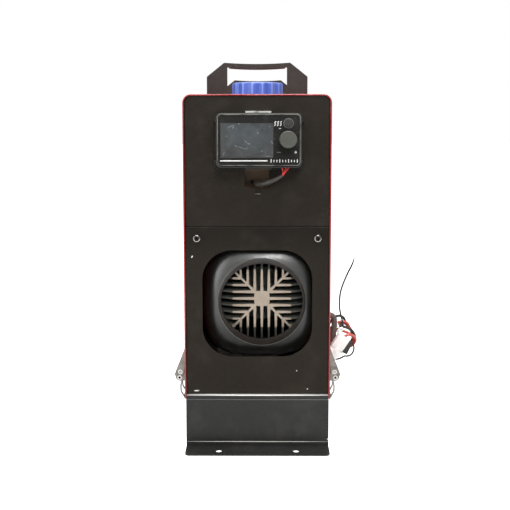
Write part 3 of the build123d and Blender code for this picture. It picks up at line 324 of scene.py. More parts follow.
def moulded(name, low, high, rough, spec=0.45, grain=1300.0, grain_strength=0.3, dust=0.25, dust_color=None, **more):
    """Moulded plastic or rubber with a fine spark-eroded grain, faint flow clouds and a little dust."""
    m = Paint(name, spec=spec, **more)
    cloud = m.noise(24.0, 3.0, 0.55)
    fine = m.noise(grain, 2.0, 0.6)
    base = m.mix(m.fit(cloud, 0.3, 0.7), low, high)
    speck = m.most(m.specks(120.0, 0.05, 0.07), m.specks(260.0, 0.06, 0.05))
    film = m.fit(m.noise(70.0, 5.0, 0.7), 0.5, 0.85, 0.0, dust * 0.2)
    base = m.mix(m.math("ADD", m.math("MULTIPLY", speck, dust), film, clamp=True), base, dust_color or srgb(150, 148, 142))
    m.join(base, "Base Color")
    m.join(m.math("ADD", m.fit(fine, 0.3, 0.7, rough - 0.05, rough + 0.06), m.math("MULTIPLY", speck, 0.2), clamp=True), "Roughness")
    m.join(m.bump(fine, grain_strength, 0.0002, m.bump(cloud, 0.05, 0.002)), "Normal")
    return m


def pivot_marks(m):
    """Rivet heads at the latches' two pivots: a painted highlight round the rim and painted shade in the middle, on
    the plates' sides.
    """
    base = m.p.inputs["Base Color"].links[0].from_socket
    x = m.math("ABSOLUTE", m.axis("X"))
    for px, pz in ((0.0815, 0.0619), (0.0807, 0.0676)):
        dx, dz = m.math("SUBTRACT", x, px), m.math("SUBTRACT", m.axis("Z"), pz)
        r = m.math("SQRT", m.math("ADD", m.math("MULTIPLY", dx, dx), m.math("MULTIPLY", dz, dz)))
        painted_rim_highlight = m.fit(m.math("ABSOLUTE", m.math("SUBTRACT", r, 0.0019)), 0.0003, 0.0007, 0.9, 0.0)
        # painted highlight round the rivet head's rim
        base = m.mix(painted_rim_highlight, base, srgb(242, 240, 236))
        # painted shade in the rivet's middle
        base = m.mix(m.fit(r, 0.0009, 0.0014, 0.95, 0.0), base, srgb(22, 20, 18))
    m.join(base, "Base Color")


zinc = sheet_zinc("zinc_sheet_finish", srgb(120, 117, 113), srgb(160, 157, 152))
pivot_marks(zinc)
# the controller bracket: painted shade on its lower tab, under the controller
bracket_zinc = sheet_zinc("bracket_zinc_finish", srgb(172, 172, 166), srgb(204, 204, 197), shade_below=(0.31, srgb(74, 70, 64)))
steel = turned_steel("steel_finish", srgb(176, 176, 174), srgb(214, 213, 210), 0.28)
exhaust_steel = turned_steel("exhaust_steel_finish", srgb(150, 132, 112), srgb(196, 186, 170), 0.34)
aluminium = cast_metal("cast_aluminium_finish")
black_screw = moulded("black_screw_finish", srgb(70, 68, 65), srgb(88, 86, 82), 0.2, metal=0.95, grain=700.0, grain_strength=0.12, dust=0.1)
tank = moulded("tank_finish", srgb(122, 95, 70), srgb(138, 111, 84), 0.42, soft=0.1, soft_scale=0.01, dust=0.1)
rubber = moulded("rubber_finish", srgb(24, 24, 24), srgb(32, 31, 30), 0.62, spec=0.3, grain=900.0, dust=0.3)
black_plastic = moulded("black_plastic_finish", srgb(14, 14, 12), srgb(22, 22, 19), 0.36, spec=0.55, grain=520.0, grain_strength=0.34, dust=0.24, coat=0.2, coat_rough=0.3)


def ring_face(m):
    """The outlet ring's face is duller and browner than the flank round it, with heat stains."""
    mask = m.math("LESS_THAN", m.axis("Y"), -0.16095)
    base = m.p.inputs["Base Color"].links[0].from_socket
    rough = m.p.inputs["Roughness"].links[0].from_socket
    stain = m.mix(m.fit(m.noise(120.0, 4.0), 0.35, 0.7), srgb(16, 12, 9), srgb(34, 27, 22))
    m.join(m.mix(mask, base, stain), "Base Color")
    m.join(m.math("ADD", rough, m.math("MULTIPLY", mask, 0.2), clamp=True), "Roughness")
    # a painted highlight: a lighter line along the ring's outer edge, strongest below
    dx, dz = m.math("SUBTRACT", m.axis("X"), 0.0046), m.math("SUBTRACT", m.axis("Z"), 0.148)
    r = m.math("SQRT", m.math("ADD", m.math("MULTIPLY", dx, dx), m.math("MULTIPLY", dz, dz)))
    edge_highlight = m.math("MULTIPLY", m.fit(m.math("ABSOLUTE", m.math("SUBTRACT", r, 0.0442)), 0.0002, 0.0006, 1.0, 0.0), m.fit(dz, 0.01, -0.03, 0.2, 0.75))
    edge_highlight = m.math("MULTIPLY", edge_highlight, m.math("LESS_THAN", m.axis("Y"), -0.1595))
    stained = m.p.inputs["Base Color"].links[0].from_socket
    m.join(m.mix(edge_highlight, stained, srgb(132, 130, 124)), "Base Color")
    # the upper half is polished by hands and wiping, the lower one is dull with soot
    m.join(m.math("MULTIPLY", m.fit(m.axis("Z"), 0.092, 0.150, 0.22, 0.95, smooth=True), m.fit(mask, 0.0, 1.0, 1.0, 0.35)), "Specular IOR Level")
    m.join(m.math("MULTIPLY", m.fit(m.axis("Z"), 0.092, 0.150, 0.04, 0.55, smooth=True), m.fit(mask, 0.0, 1.0, 1.0, 0.1)), "Coat Weight")


def screw_painted_light(m):
    """Each panel screw: a painted highlight on the rim of its head, strongest on the lower edge, and painted shade in
    the socket.
    """
    base = m.p.inputs["Base Color"].links[0].from_socket
    dx = m.math("SUBTRACT", m.math("ABSOLUTE", m.axis("X")), 0.060)
    dz = m.math("SUBTRACT", m.axis("Z"), 0.2135)
    r = m.math("SQRT", m.math("ADD", m.math("MULTIPLY", dx, dx), m.math("MULTIPLY", dz, dz)))
    painted_rim_highlight = m.fit(m.math("ABSOLUTE", m.math("SUBTRACT", r, 0.0033)), 0.0003, 0.0009, 1.0, 0.0)
    low_side = m.fit(dz, 0.0012, -0.0016, 0.25, 1.0)
    # painted shade in the screw's socket
    base = m.mix(m.fit(r, 0.0017, 0.0024, 0.9, 0.0), base, srgb(24, 23, 21))
    # painted highlight round the head's rim, strongest on its lower edge
    m.join(m.mix(m.math("MULTIPLY", painted_rim_highlight, low_side), base, srgb(196, 195, 190)), "Base Color")


ring_face(black_plastic)
screw_painted_light(black_screw)
controller_plastic = moulded("controller_plastic_finish", srgb(17, 17, 15), srgb(25, 24, 21), 0.42, spec=0.18, grain=1700.0, grain_strength=0.3, dust=0.4)


def painted_rim_highlights(m):
    """Painted highlights: lighter lines along the two edges of the controller's rim and round its button, seen on its
    front only.
    """
    x, z = m.axis("X"), m.axis("Z")
    qx = m.math("SUBTRACT", m.math("ABSOLUTE", m.math("SUBTRACT", x, 0.0017)), 0.0404 - 0.006)
    qz = m.math("SUBTRACT", m.math("ABSOLUTE", m.math("SUBTRACT", z, 0.311)), 0.0257 - 0.006)
    ox, oz = m.math("MAXIMUM", qx, 0.0), m.math("MAXIMUM", qz, 0.0)
    corner = m.math("SQRT", m.math("ADD", m.math("MULTIPLY", ox, ox), m.math("MULTIPLY", oz, oz)))
    d = m.math("SUBTRACT", m.math("ADD", corner, m.math("MINIMUM", m.math("MAXIMUM", qx, qz), 0.0)), 0.006)
    outer = m.fit(m.math("ABSOLUTE", m.math("ADD", d, 0.0002)), 0.0002, 0.0005, 1.0, 0.0)
    # the inner edge's painted highlight is brighter and in pieces; it lies closer to the top than to the bottom
    ix = m.math("SUBTRACT", m.math("ABSOLUTE", m.math("SUBTRACT", x, 0.0017)), 0.0389 - 0.0034)
    iz = m.math("SUBTRACT", m.math("ABSOLUTE", m.math("SUBTRACT", z, 0.3115)), 0.0239 - 0.0034)
    jx, jz = m.math("MAXIMUM", ix, 0.0), m.math("MAXIMUM", iz, 0.0)
    bend = m.math("SQRT", m.math("ADD", m.math("MULTIPLY", jx, jx), m.math("MULTIPLY", jz, jz)))
    e = m.math("SUBTRACT", m.math("ADD", bend, m.math("MINIMUM", m.math("MAXIMUM", ix, iz), 0.0)), 0.0034)
    inner = m.fit(m.math("ABSOLUTE", e), 0.0001, 0.00038, 1.0, 0.0)
    broken = m.fit(m.noise(95.0, 3.0), 0.40, 0.54, 0.3, 1.0)
    lines = m.math("ADD", m.math("MULTIPLY", outer, 0.1), m.math("MULTIPLY", m.math("MULTIPLY", inner, broken), 0.42))
    bx, bz = m.math("SUBTRACT", x, 0.0296), m.math("SUBTRACT", z, 0.3273)
    r = m.math("SQRT", m.math("ADD", m.math("MULTIPLY", bx, bx), m.math("MULTIPLY", bz, bz)))
    ring = m.fit(m.math("ABSOLUTE", m.math("SUBTRACT", r, 0.0045)), 0.00015, 0.0004, 1.0, 0.0)
    lines = m.math("ADD", lines, m.math("MULTIPLY", ring, 0.3), clamp=True)
    front = m.math("LESS_THAN", m.axis("Y"), -0.1909)
    base = m.p.inputs["Base Color"].links[0].from_socket
    m.join(m.mix(m.math("MULTIPLY", lines, front), base, srgb(178, 178, 172)), "Base Color")


painted_rim_highlights(controller_plastic)
button_plastic = moulded("button_plastic_finish", srgb(33, 33, 31), srgb(42, 41, 38), 0.4, grain=1700.0, dust=0.15)
knob_plastic = moulded("knob_plastic_finish", srgb(61, 62, 56), srgb(71, 71, 65), 0.5, spec=0.4, grain=2000.0, grain_strength=0.3, dust=0.15)
cable_black = moulded("cable_black_finish", srgb(44, 42, 39), srgb(58, 54, 50), 0.42, spec=0.45, grain=600.0, grain_strength=0.25, dust=0.25)
sheath_grey = moulded("sheath_finish", srgb(72, 62, 57), srgb(92, 82, 75), 0.55, spec=0.35, grain=420.0, grain_strength=0.5, dust=0.35)
cable_red = moulded("cable_red_finish", srgb(170, 62, 56), srgb(196, 84, 76), 0.3, spec=0.55, grain=700.0, grain_strength=0.1, dust=0.2, dust_color=srgb(236, 196, 190), coat=0.5, coat_rough=0.12)
lead_red = moulded("lead_red_finish", srgb(190, 24, 20), srgb(214, 40, 30), 0.3, spec=0.5, grain=700.0, grain_strength=0.1, dust=0.1, coat=0.4, coat_rough=0.12)
thin_black = moulded("thin_wire_finish", srgb(44, 44, 43), srgb(58, 58, 56), 0.4, spec=0.4, grain=800.0, grain_strength=0.15, dust=0.1)
white_plastic = moulded("white_plastic_finish", srgb(244, 243, 238), srgb(250, 249, 246), 0.38, spec=0.45, grain=900.0, grain_strength=0.12, dust=0.16, dust_color=srgb(214, 206, 194))
print_white = moulded("print_finish", srgb(206, 206, 203), srgb(222, 222, 220), 0.5, dust=0.3, dust_color=srgb(120, 120, 118))
print_grey = moulded("worn_print_finish", srgb(84, 84, 80), srgb(104, 104, 100), 0.5, dust=0.3, dust_color=srgb(70, 70, 68))
blue_plastic = moulded("blue_plastic_finish", srgb(57, 88, 176), srgb(74, 105, 190), 0.36, spec=0.5, grain=800.0, grain_strength=0.2, dust=0.3, dust_color=srgb(206, 214, 240))


def cap_dust_and_painted_light(m):
    """Pale dust on the cap's upper rim, painted shade in the flutes between its grip ribs and a painted highlight on
    the ribs.
    """
    base = m.p.inputs["Base Color"].links[0].from_socket
    angle = m.math("ARCTAN2", m.math("SUBTRACT", m.axis("Y"), -0.017), m.axis("X"))
    wave = m.math("COSINE", m.math("MULTIPLY", angle, 16.0))
    side = m.math("LESS_THAN", m.axis("Z"), 0.3732)
    # painted shade in the flutes
    painted_flute_shade = m.math("MULTIPLY", m.fit(wave, 0.1, 0.95, 0.0, 0.28, smooth=True), side)
    base = m.mix(painted_flute_shade, base, srgb(30, 48, 132))
    # painted highlight on the ribs
    painted_rib_highlight = m.math("MULTIPLY", m.fit(wave, -0.99, -0.72, 0.4, 0.0, smooth=True), side)
    base = m.mix(painted_rib_highlight, base, srgb(150, 168, 226))
    top = m.fit(m.axis("Z"), 0.3724, 0.3738, 0.0, 0.55, smooth=True)
    m.join(m.mix(top, base, srgb(98, 104, 122)), "Base Color")


cap_dust_and_painted_light(blue_plastic)


def display_glass():
    """The dark screen behind its scratched and dusty cover."""
    m = Paint("display_finish", spec=0.5, coat=0.3, coat_rough=0.12)
    cloud = m.noise(60.0, 5.0, 0.65, swirl=0.6)
    base = m.mix(m.fit(cloud, 0.3, 0.72), srgb(39, 41, 41), srgb(57, 59, 59))
    middle = m.spot(-0.0085, 0.3165, 0.021, 0.011, -12, 0.5, 0.6)
    base = m.mix(m.math("MULTIPLY", middle, 0.55), base, srgb(54, 62, 67))
    haze = m.fit(m.noise(150.0, 6.0, 0.75), 0.5, 0.9, 0.0, 0.4)
    base = m.mix(haze, base, srgb(100, 104, 106))
    lines = [
        m.spot(x, z, a, b, turn, 0.35, 0.5)
        for x, z, a, b, turn in (
            (-0.0245, 0.3245, 0.0030, 0.00022, 22), (-0.0225, 0.3236, 0.0016, 0.00025, 62), (-0.0105, 0.3098, 0.0022, 0.00020, -42),
            (-0.0078, 0.3079, 0.0012, 0.00028, 8), (-0.0200, 0.3058, 0.0011, 0.00028, -18), (-0.0140, 0.3040, 0.0046, 0.00015, -20),
            (-0.0098, 0.3038, 0.0016, 0.00014, 48), (0.0008, 0.3182, 0.0009, 0.00032, 30), (0.0140, 0.3092, 0.0017, 0.00022, -52),
            (0.0098, 0.2962, 0.0034, 0.00016, -6), (-0.0290, 0.3152, 0.0008, 0.00022, 12), (0.0048, 0.3010, 0.0012, 0.00016, 34),
            (-0.0170, 0.3268, 0.0007, 0.00026, 0), (0.0118, 0.3242, 0.0010, 0.00016, -30), (-0.0315, 0.2985, 0.0016, 0.00015, 70),
        )
    ]
    scratch = m.most(*lines)
    speck = m.most(m.specks(150.0, 0.07, 0.14), m.specks(330.0, 0.09, 0.1))
    base = m.mix(m.math("MULTIPLY", m.most(scratch, m.math("MULTIPLY", speck, 0.9)), 0.37), base, srgb(178, 182, 182))
    m.join(base, "Base Color")
    m.join(m.math("ADD", m.fit(cloud, 0.3, 0.7, 0.26, 0.4), m.math("MULTIPLY", speck, 0.3), clamp=True), "Roughness")
    m.join(m.bump(scratch, 0.1, 0.0002), "Normal")
    return m


def board_green():
    m = Paint("board_finish", spec=0.5, coat=0.5, coat_rough=0.15)
    v = m.cells(1.0, m.scaled(420.0, 60.0, 420.0), "DISTANCE_TO_EDGE", 0.25)
    trace = m.fit(v.outputs["Distance"], 0.06, 0.1, 1.0, 0.0)
    base = m.mix(m.math("MULTIPLY", trace, 0.6), srgb(14, 62, 34), srgb(40, 104, 62))
    base = m.mix(m.specks(300.0, 0.16, 0.2), base, srgb(200, 196, 176))
    m.join(base, "Base Color")
    m.join(m.fit(m.noise(400.0), 0.3, 0.7, 0.3, 0.45), "Roughness")
    m.join(m.bump(trace, 0.2, 0.0002), "Normal")
    return m


display = display_glass()
board = board_green()

FINISH = {
    "panel_rear": (panel_rear, ["rear_panel"]),
    "panel_front": (panel_front, ["front_upper_panel", "front_lower_panel"]),
    "base": (base_finish, ["base_tray", "case_floor"]),
    "shell": (shell_finish, ["outer_shell"]),
    "zinc": (zinc, ["tank_shelf", "fuel_pump", "heater_bracket", "latch_brackets", "latch_rivets", "latch_catches"]
             + [n for n in N if n.startswith("latch_lever_")]),
    "bracket": (bracket_zinc, ["controller_bracket"]),
    "handle": (handle_finish, ["front_handle", "rear_handle"]),
    "screw": (black_screw, ["case_screws"]),
    "tank": (tank, ["fuel_tank"]),
    "rubber": (rubber, ["filler_grommet", "cap_seal", "tank_hose", "pump_hose"]),
    "blue": (blue_plastic, ["fuel_cap"]),
    "black": (black_plastic, ["heater_upper_casing", "heater_lower_casing", "outlet_shroud", "inlet_grille", "blower_wheel", "fan_wheel", "heater_ecu"]),
    "cast": (aluminium, ["heat_exchanger", "blower_housing"]),
    "steel": (steel, ["burner_tube", "glow_plug", "fan_motor", "fan_shaft", "intake_pipe", "encoder_shaft"] + [n for n in N if n.startswith("latch_bail_")]),
    "exhaust": (exhaust_steel, ["exhaust_pipe"]),
    "controller": (controller_plastic, ["controller_back", "controller_front"]),
    "button": (button_plastic, ["ok_button"]),
    "display": (display, ["display_window"]),
    "board": (board, ["controller_board"]),
    "knob": (knob_plastic, ["control_knob"]),
    "cable": (cable_black, ["controller_lead", "lead_gland", "fuse_holder"]),
    "thin": (thin_black, ["antenna_wire"]),
    "sheath": (sheath_grey, ["lead_sheath"]),
    "red_wire": (cable_red, ["wire_coil"]),
    "white": (white_plastic, ["white_connector", "cable_tie"]),
}
for paint, names in FINISH.values():
    for name in names:
        N[name].data.materials.clear()
        N[name].data.materials.append(paint.m)


# ------------------------------------------------------------------ free cords
def v3(p):
    return Vector(p) * MM


def cord_line(name, points, diameter, paint, radii=None, caps=True):
    """A round cord: one open NURBS spline through its route, points in millimetres."""
    data = bpy.data.curves.new(name, "CURVE")
    data.dimensions = "3D"
    data.fill_mode = "FULL"
    data.bevel_depth = diameter * MM / 2
    data.bevel_resolution = 5
    data.resolution_u = 10
    data.use_fill_caps = caps
    line = data.splines.new("NURBS")
    line.points.add(len(points) - 1)
    for i, p in enumerate(points):
        q = v3(p)
        line.points[i].co = (q.x, q.y, q.z, 1.0)
        if radii:
            line.points[i].radius = radii[i]
    line.order_u = 3
    line.use_endpoint_u = True
    data.materials.append(paint.m)
    o = bpy.data.objects.new(name, data)
    scene.collection.objects.link(o)
    return o


def line_of(o):
    """The points that a cord's line follows, in metres, read from its NURBS spline."""
    data = o.data.copy()
    data.bevel_depth = 0.0
    twin = bpy.data.objects.new("line_reading", data)
    scene.collection.objects.link(twin)
    bpy.context.view_layer.update()
    mesh = bpy.data.meshes.new_from_object(twin.evaluated_get(bpy.context.evaluated_depsgraph_get()))
    pts = [v.co.copy() for v in mesh.vertices]
    bpy.data.objects.remove(twin)
    bpy.data.meshes.remove(mesh)
    bpy.data.curves.remove(data)
    return pts


def line_length(o):
    pts = line_of(o)
    return sum((b - a).length for a, b in zip(pts, pts[1:]))


# lead of the controller: its sheath starts below the unit and goes in through the notch of the slot
controller_lead = cord_line(
    "controller_lead_cord",
    [
        (27.6, -176.0, 285.3), (27.4, -176.2, 280.8), (24.8, -177.0, 277.0), (18.8, -177.6, 273.6), (11.6, -176.4, 270.4),
        (5.6, -172.2, 268.2), (0.6, -165.4, 267.4), (-2.8, -157.0, 267.4), (-5.0, -148.6, 268.4),
    ],
    5.0, cable_black, radii=[0.2, 0.22, 0.62, 0.86, 1.0, 0.96, 0.82, 0.72, 0.72],
)
# sheath of the supply lead
lead_sheath = cord_line(
    "lead_sheath_cord",
    [
        (64.0, -67.0, 108.0), (80.6, -67.0, 108.6), (87.6, -67.8, 106.2), (87.9, -69.8, 98.5),
        (86.8, -70.6, 90.0), (86.4, -70.6, 83.0), (86.4, -70.6, 77.0),
    ],
    6.6, sheath_grey,
)
# thin wire that stands up beside the case
antenna = cord_line(
    "antenna_wire_cord",
    [
        (98.0, -67.8, 91.4), (97.7, -68.2, 99.4), (95.4, -67.6, 107.2), (93.8, -66.0, 116.6),
        (93.8, -66.6, 127.4), (95.6, -66.2, 137.8), (99.2, -66.8, 147.8), (103.8, -66.4, 158.2),
        (108.6, -67.0, 167.4), (110.2, -67.0, 174.2),
    ],
    2.0, thin_black, radii=[1, 1, 1, 1, 1, 1, 1, 1, 1, 0.5],
)
# red wire of the small coil: out of the sheath, three turns seen from the front, then into the top of the connector
coil_red = cord_line(
    "coil_red_cord",
    [
        (85.0, -70.4, 79.5), (85.7, -68.8, 75.3), (87.2, -66.2, 71.9), (91.0, -62.4, 70.4), (96.6, -60.5, 70.0),
        (103.0, -60.2, 70.4), (108.2, -60.2, 73.0), (111.0, -60.2, 77.0), (111.0, -60.2, 81.4), (109.0, -60.2, 85.8),
        (106.2, -60.2, 89.8), (104.9, -60.2, 92.8), (102.7, -60.2, 94.9), (99.5, -60.2, 96.1), (95.6, -60.2, 95.6),
        (91.8, -60.2, 93.8), (88.2, -60.4, 90.6), (85.8, -60.6, 86.2), (85.0, -61.0, 81.4), (86.2, -61.5, 76.6),
        (89.4, -62.0, 72.8), (93.8, -62.4, 70.6), (98.8, -62.7, 70.2), (104.6, -62.8, 70.6), (109.4, -62.8, 72.6),
        (112.2, -62.8, 76.2), (112.9, -62.8, 80.9), (110.8, -62.8, 85.8), (107.2, -62.8, 90.2), (105.4, -62.8, 93.6),
        (104.1, -62.8, 96.3), (101.7, -62.8, 98.2), (98.6, -62.8, 98.9), (95.6, -62.8, 98.9), (92.9, -62.8, 97.6),
        (90.8, -62.8, 95.0), (89.8, -62.8, 91.0), (87.2, -63.1, 87.6), (85.2, -63.6, 82.6), (85.6, -64.2, 77.4),
        (88.6, -64.8, 73.0), (93.4, -65.1, 70.4), (98.8, -65.4, 69.8), (104.2, -65.4, 70.4), (108.4, -66.4, 73.2),
        (110.3, -67.7, 77.4), (110.0, -68.0, 81.4), (107.4, -68.0, 84.9), (103.8, -68.0, 87.2), (100.4, -68.0, 88.5),
        (96.8, -68.0, 89.7), (93.3, -67.2, 91.2), (89.6, -65.8, 90.5), (86.4, -65.2, 87.6), (84.9, -65.2, 82.8),
        (85.6, -65.4, 77.4), (88.8, -65.8, 73.0), (93.8, -66.0, 70.0), (99.2, -66.0, 69.0), (104.4, -66.0, 69.4),
        (108.8, -67.0, 72.0), (111.6, -69.6, 76.6), (112.0, -73.0, 81.6), (109.5, -76.1, 85.9), (105.8, -77.3, 87.9),
        (102.3, -78.0, 88.1), (99.4, -78.3, 86.8), (97.0, -78.4, 84.9),
    ],
    3.0, cable_red,
)
# black wire of the coil: the same way, wider at the back, ending in the fuse holder
coil_black = cord_line(
    "coil_black_cord",
    [
        (87.7, -71.0, 79.5), (87.8, -70.4, 74.2), (88.4, -67.4, 69.4), (91.4, -61.6, 66.9), (96.4, -57.0, 66.8),
        (102.6, -55.2, 68.7), (108.0, -55.0, 71.8), (111.0, -55.0, 76.0), (111.4, -55.0, 81.2), (109.4, -55.0, 86.2),
        (105.6, -55.0, 90.4), (102.2, -55.0, 94.6), (101.4, -55.0, 99.2), (99.2, -55.0, 102.1), (96.0, -55.0, 103.5),
        (92.2, -55.0, 103.1), (88.2, -55.0, 100.4), (84.6, -55.2, 96.2), (82.0, -55.4, 90.6), (81.0, -55.8, 84.4),
        (82.0, -56.2, 78.2), (85.2, -56.6, 72.6), (90.0, -57.0, 68.8), (95.8, -57.4, 67.4), (101.8, -57.6, 68.4),
        (107.0, -57.6, 71.0), (110.6, -57.6, 74.8), (111.8, -57.6, 79.8), (110.2, -57.6, 85.0), (107.3, -57.6, 89.1),
        (105.7, -57.6, 92.1), (104.0, -57.6, 93.8), (102.2, -57.6, 94.9), (100.3, -57.6, 95.3), (98.2, -57.6, 95.1),
        (95.9, -57.6, 94.2), (92.9, -57.6, 92.8), (89.0, -57.8, 92.6), (84.8, -58.6, 90.2), (82.2, -59.6, 85.6),
        (81.8, -60.8, 80.2), (83.6, -62.0, 75.0), (87.2, -63.2, 70.8), (92.2, -64.2, 68.0), (97.8, -65.0, 67.2),
        (103.4, -65.4, 68.8), (108.2, -65.4, 71.2), (111.6, -65.4, 75.0), (112.8, -65.4, 80.2), (111.0, -65.4, 85.6),
        (107.8, -65.4, 90.0), (103.2, -65.4, 92.1), (98.6, -65.4, 93.9), (94.2, -65.4, 94.8), (89.4, -65.3, 94.2),
        (85.0, -65.2, 91.2), (82.2, -65.2, 86.2), (81.6, -65.2, 80.4), (83.2, -65.4, 74.2), (86.7, -66.1, 68.9),
        (90.0, -67.2, 66.2), (92.7, -68.2, 65.2), (95.0, -69.1, 65.2), (97.0, -69.8, 65.9), (98.8, -70.5, 67.0),
    ],
    3.0, cable_black,
)
# wire of the fuse holder's other end: round below it and into the lower end of the connector
fuse_tail = cord_line(
    "fuse_tail_cord",
    [
        (104.2, -70.5, 78.4), (105.9, -71.0, 78.1), (107.5, -71.5, 77.2), (109.0, -72.1, 75.5), (110.2, -72.6, 72.1),
        (109.6, -72.8, 67.0), (106.8, -72.9, 62.9), (102.5, -73.0, 61.4), (99.1, -73.0, 61.8), (95.8, -73.0, 59.5),
        (91.8, -72.4, 57.9), (87.5, -71.8, 56.8), (84.4, -72.6, 56.1), (82.3, -73.9, 56.3), (81.2, -75.4, 57.2),
        (80.9, -76.9, 58.7), (81.0, -78.4, 60.6),
    ],
    1.9, cable_black,
)


# ------------------------------------------------------------------ mesh helpers
def finish_mesh(name, bm, paint, body="case", smooth=True, angle=40.0, bevel=None, subsurf=0):
    bmesh.ops.recalc_face_normals(bm, faces=bm.faces)
    data = bpy.data.meshes.new(name)
    bm.to_mesh(data)
    bm.free()
    for f in data.polygons:
        f.use_smooth = smooth
    o = bpy.data.objects.new(name, data)
    scene.collection.objects.link(o)
    if bevel:
        b = o.modifiers.new("edges", "BEVEL")
        b.width = bevel * MM
        b.segments = 3
        b.limit_method = "ANGLE"
        b.angle_limit = math.radians(35)
        b.harden_normals = False
    if subsurf:
        s = o.modifiers.new("smooth", "SUBSURF")
        s.levels = s.render_levels = subsurf
    if smooth:
        bpy.context.view_layer.update()
        mesh = bpy.data.meshes.new_from_object(o.evaluated_get(bpy.context.evaluated_depsgraph_get()))
        o.modifiers.clear()
        o.data = mesh
        mesh.name = name
        mesh.set_sharp_from_angle(angle=math.radians(angle))
    o.data.materials.clear()
    o.data.materials.append(paint.m)
    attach(o, body)
    return o


def add_box(bm, centre, axes, size):
    """A box in a bmesh: centre in mm, axes as three unit vectors, size in mm."""
    c = v3(centre)
    made = []
    for sx in (-0.5, 0.5):
        for sy in (-0.5, 0.5):
            for sz in (-0.5, 0.5):
                made.append(bm.verts.new(c + MM * (axes[0] * sx * size[0] + axes[1] * sy * size[1] + axes[2] * sz * size[2])))
    for q in ((0, 1, 3, 2), (4, 6, 7, 5), (0, 4, 5, 1), (2, 3, 7, 6), (0, 2, 6, 4), (1, 5, 7, 3)):
        bm.faces.new([made[i] for i in q])
    return made


def rings_to_mesh(bm, rings, close_u=True, close_v=False):
    """Faces between rows of points, each row a ring of the same count. Points are in mm."""
    rows = [[bm.verts.new(v3(p)) for p in ring] for ring in rings]
    pairs = list(zip(rows, rows[1:])) + ([(rows[-1], rows[0])] if close_v else [])
    for a, b in pairs:
        n = len(a)
        for i in range(n if close_u else n - 1):
            bm.faces.new((a[i], a[(i + 1) % n], b[(i + 1) % n], b[i]))
    return rows


# ------------------------------------------------------------------ outlet shroud
HX, HZ = 4.6, 148.0


def oval(half_w, half_h, power, y, count=144, lift=0.0):
    """One ring of a superellipse round the outlet's axis: 2 is a circle, more is squarer."""
    out = []
    for i in range(count):
        a = 2 * math.pi * i / count
        c, s = math.cos(a), math.sin(a)
        r = ((abs(c) / half_w) ** power + (abs(s) / half_h) ** power) ** (-1.0 / power)
        out.append((HX + r * c, y, HZ + lift + r * s))
    return out


def shroud():
    rings = []
    # inner side, from the casing forward to the bore
    rings.append(oval(59.6, 57.6, 3.3, -140.1))
    rings.append(oval(56.0, 55.0, 3.0, -146.0))
    rings.append(oval(48.0, 47.6, 2.4, -151.5))
    rings.append(oval(43.4, 41.6, 2.03, -155.4, lift=0.5))
    rings.append(oval(41.4, 38.8, 2.0, -157.6, lift=1.0))
    rings.append(oval(41.0, 38.3, 2.0, -159.0, lift=1.0))
    rings.append(oval(41.0, 38.3, 2.0, -162.1, lift=1.0))
    # softened edge of the oval opening, then the ring's face, which leans outward to a small groove
    for k in range(1, 6):
        a = math.radians(18 * k)
        grow = 0.6 * (1 - math.cos(a))
        rings.append(oval(41.0 + grow, 38.3 + grow, 2.0, -162.1 - 0.75 * math.sin(a), lift=1.0))
    rings.append(oval(42.4, 40.6, 2.0, -162.6, lift=0.6))
    rings.append(oval(43.3, 42.6, 2.0, -162.05, lift=0.25))
    for k in range(0, 5):
        a = math.radians(80 - 20 * k)
        rings.append(oval(43.7 + 0.5 * math.cos(a), 43.7 + 0.5 * math.cos(a), 2.0, -161.2 - 0.5 * math.sin(a)))
    rings.append(oval(44.25, 44.25, 2.0, -160.5))
    rings.append(oval(44.45, 44.45, 2.0, -160.15))
    rings.append(oval(44.75, 44.75, 2.0, -160.05))
    flank = 24
    y, r0, reach = -160.0, 44.95, 16.65
    for k in range(1, flank + 1):
        t = k / flank
        lean = math.radians(21 + 59 * ((k - 0.5) / flank) ** 1.3)
        y += math.tan(lean) * reach / flank
        power = 2.0 + 1.3 * t ** 0.9
        grow = reach * t
        rings.append(oval(r0 + grow, r0 + grow, power, min(y, -140.1) if k < flank else -140.1))
    bm = bmesh.new()
    rings_to_mesh(bm, rings, close_v=True)
    o = finish_mesh("outlet_shroud_skin", bm, black_plastic, angle=50)
    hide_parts("outlet_shroud")
    return o


shroud()


def cap_skin():
    """The fuel cap: sixteen shallow concave flutes with narrow ribs, a rounded top edge, a sunk top and a hollow underside."""
    def ring(r, z, depth, count=288):
        out = []
        for i in range(count):
            t = 2 * math.pi * i / count
            dip = max(0.0, math.cos(16 * t) * 0.5 + 0.5) ** 0.75
            q = r - depth * dip
            out.append((q * math.cos(t), -17.0 + q * math.sin(t), z))
        return out

    rows = [ring(0.2, 371.0, 0), ring(21.5, 371.0, 0), ring(21.5, 358.3, 0), ring(21.7, 358.2, 0)]
    rows += [ring(29.7, 358.2, 1.2), ring(30.3, 358.5, 1.4), ring(30.45, 359.2, 1.45), ring(30.45, 371.2, 1.45)]
    for k in range(1, 9):
        a = math.radians(90 * k / 8)
        rows.append(ring(27.65 + 2.8 * math.cos(a), 371.4 + 2.9 * math.sin(a), 1.45 * (1 - k / 8) ** 0.8))
    rows += [ring(24.0, 374.35, 0), ring(20.4, 374.3, 0), ring(19.6, 373.9, 0), ring(19.0, 373.5, 0), ring(10.0, 373.5, 0), ring(0.2, 373.5, 0)]
    bm = bmesh.new()
    made = rings_to_mesh(bm, rows)
    bm.faces.new(made[0])
    bm.faces.new(list(reversed(made[-1])))
    o = finish_mesh("fuel_cap_skin", bm, blue_plastic, body="cap", angle=50)
    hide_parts("fuel_cap")
    return o


cap_skin()


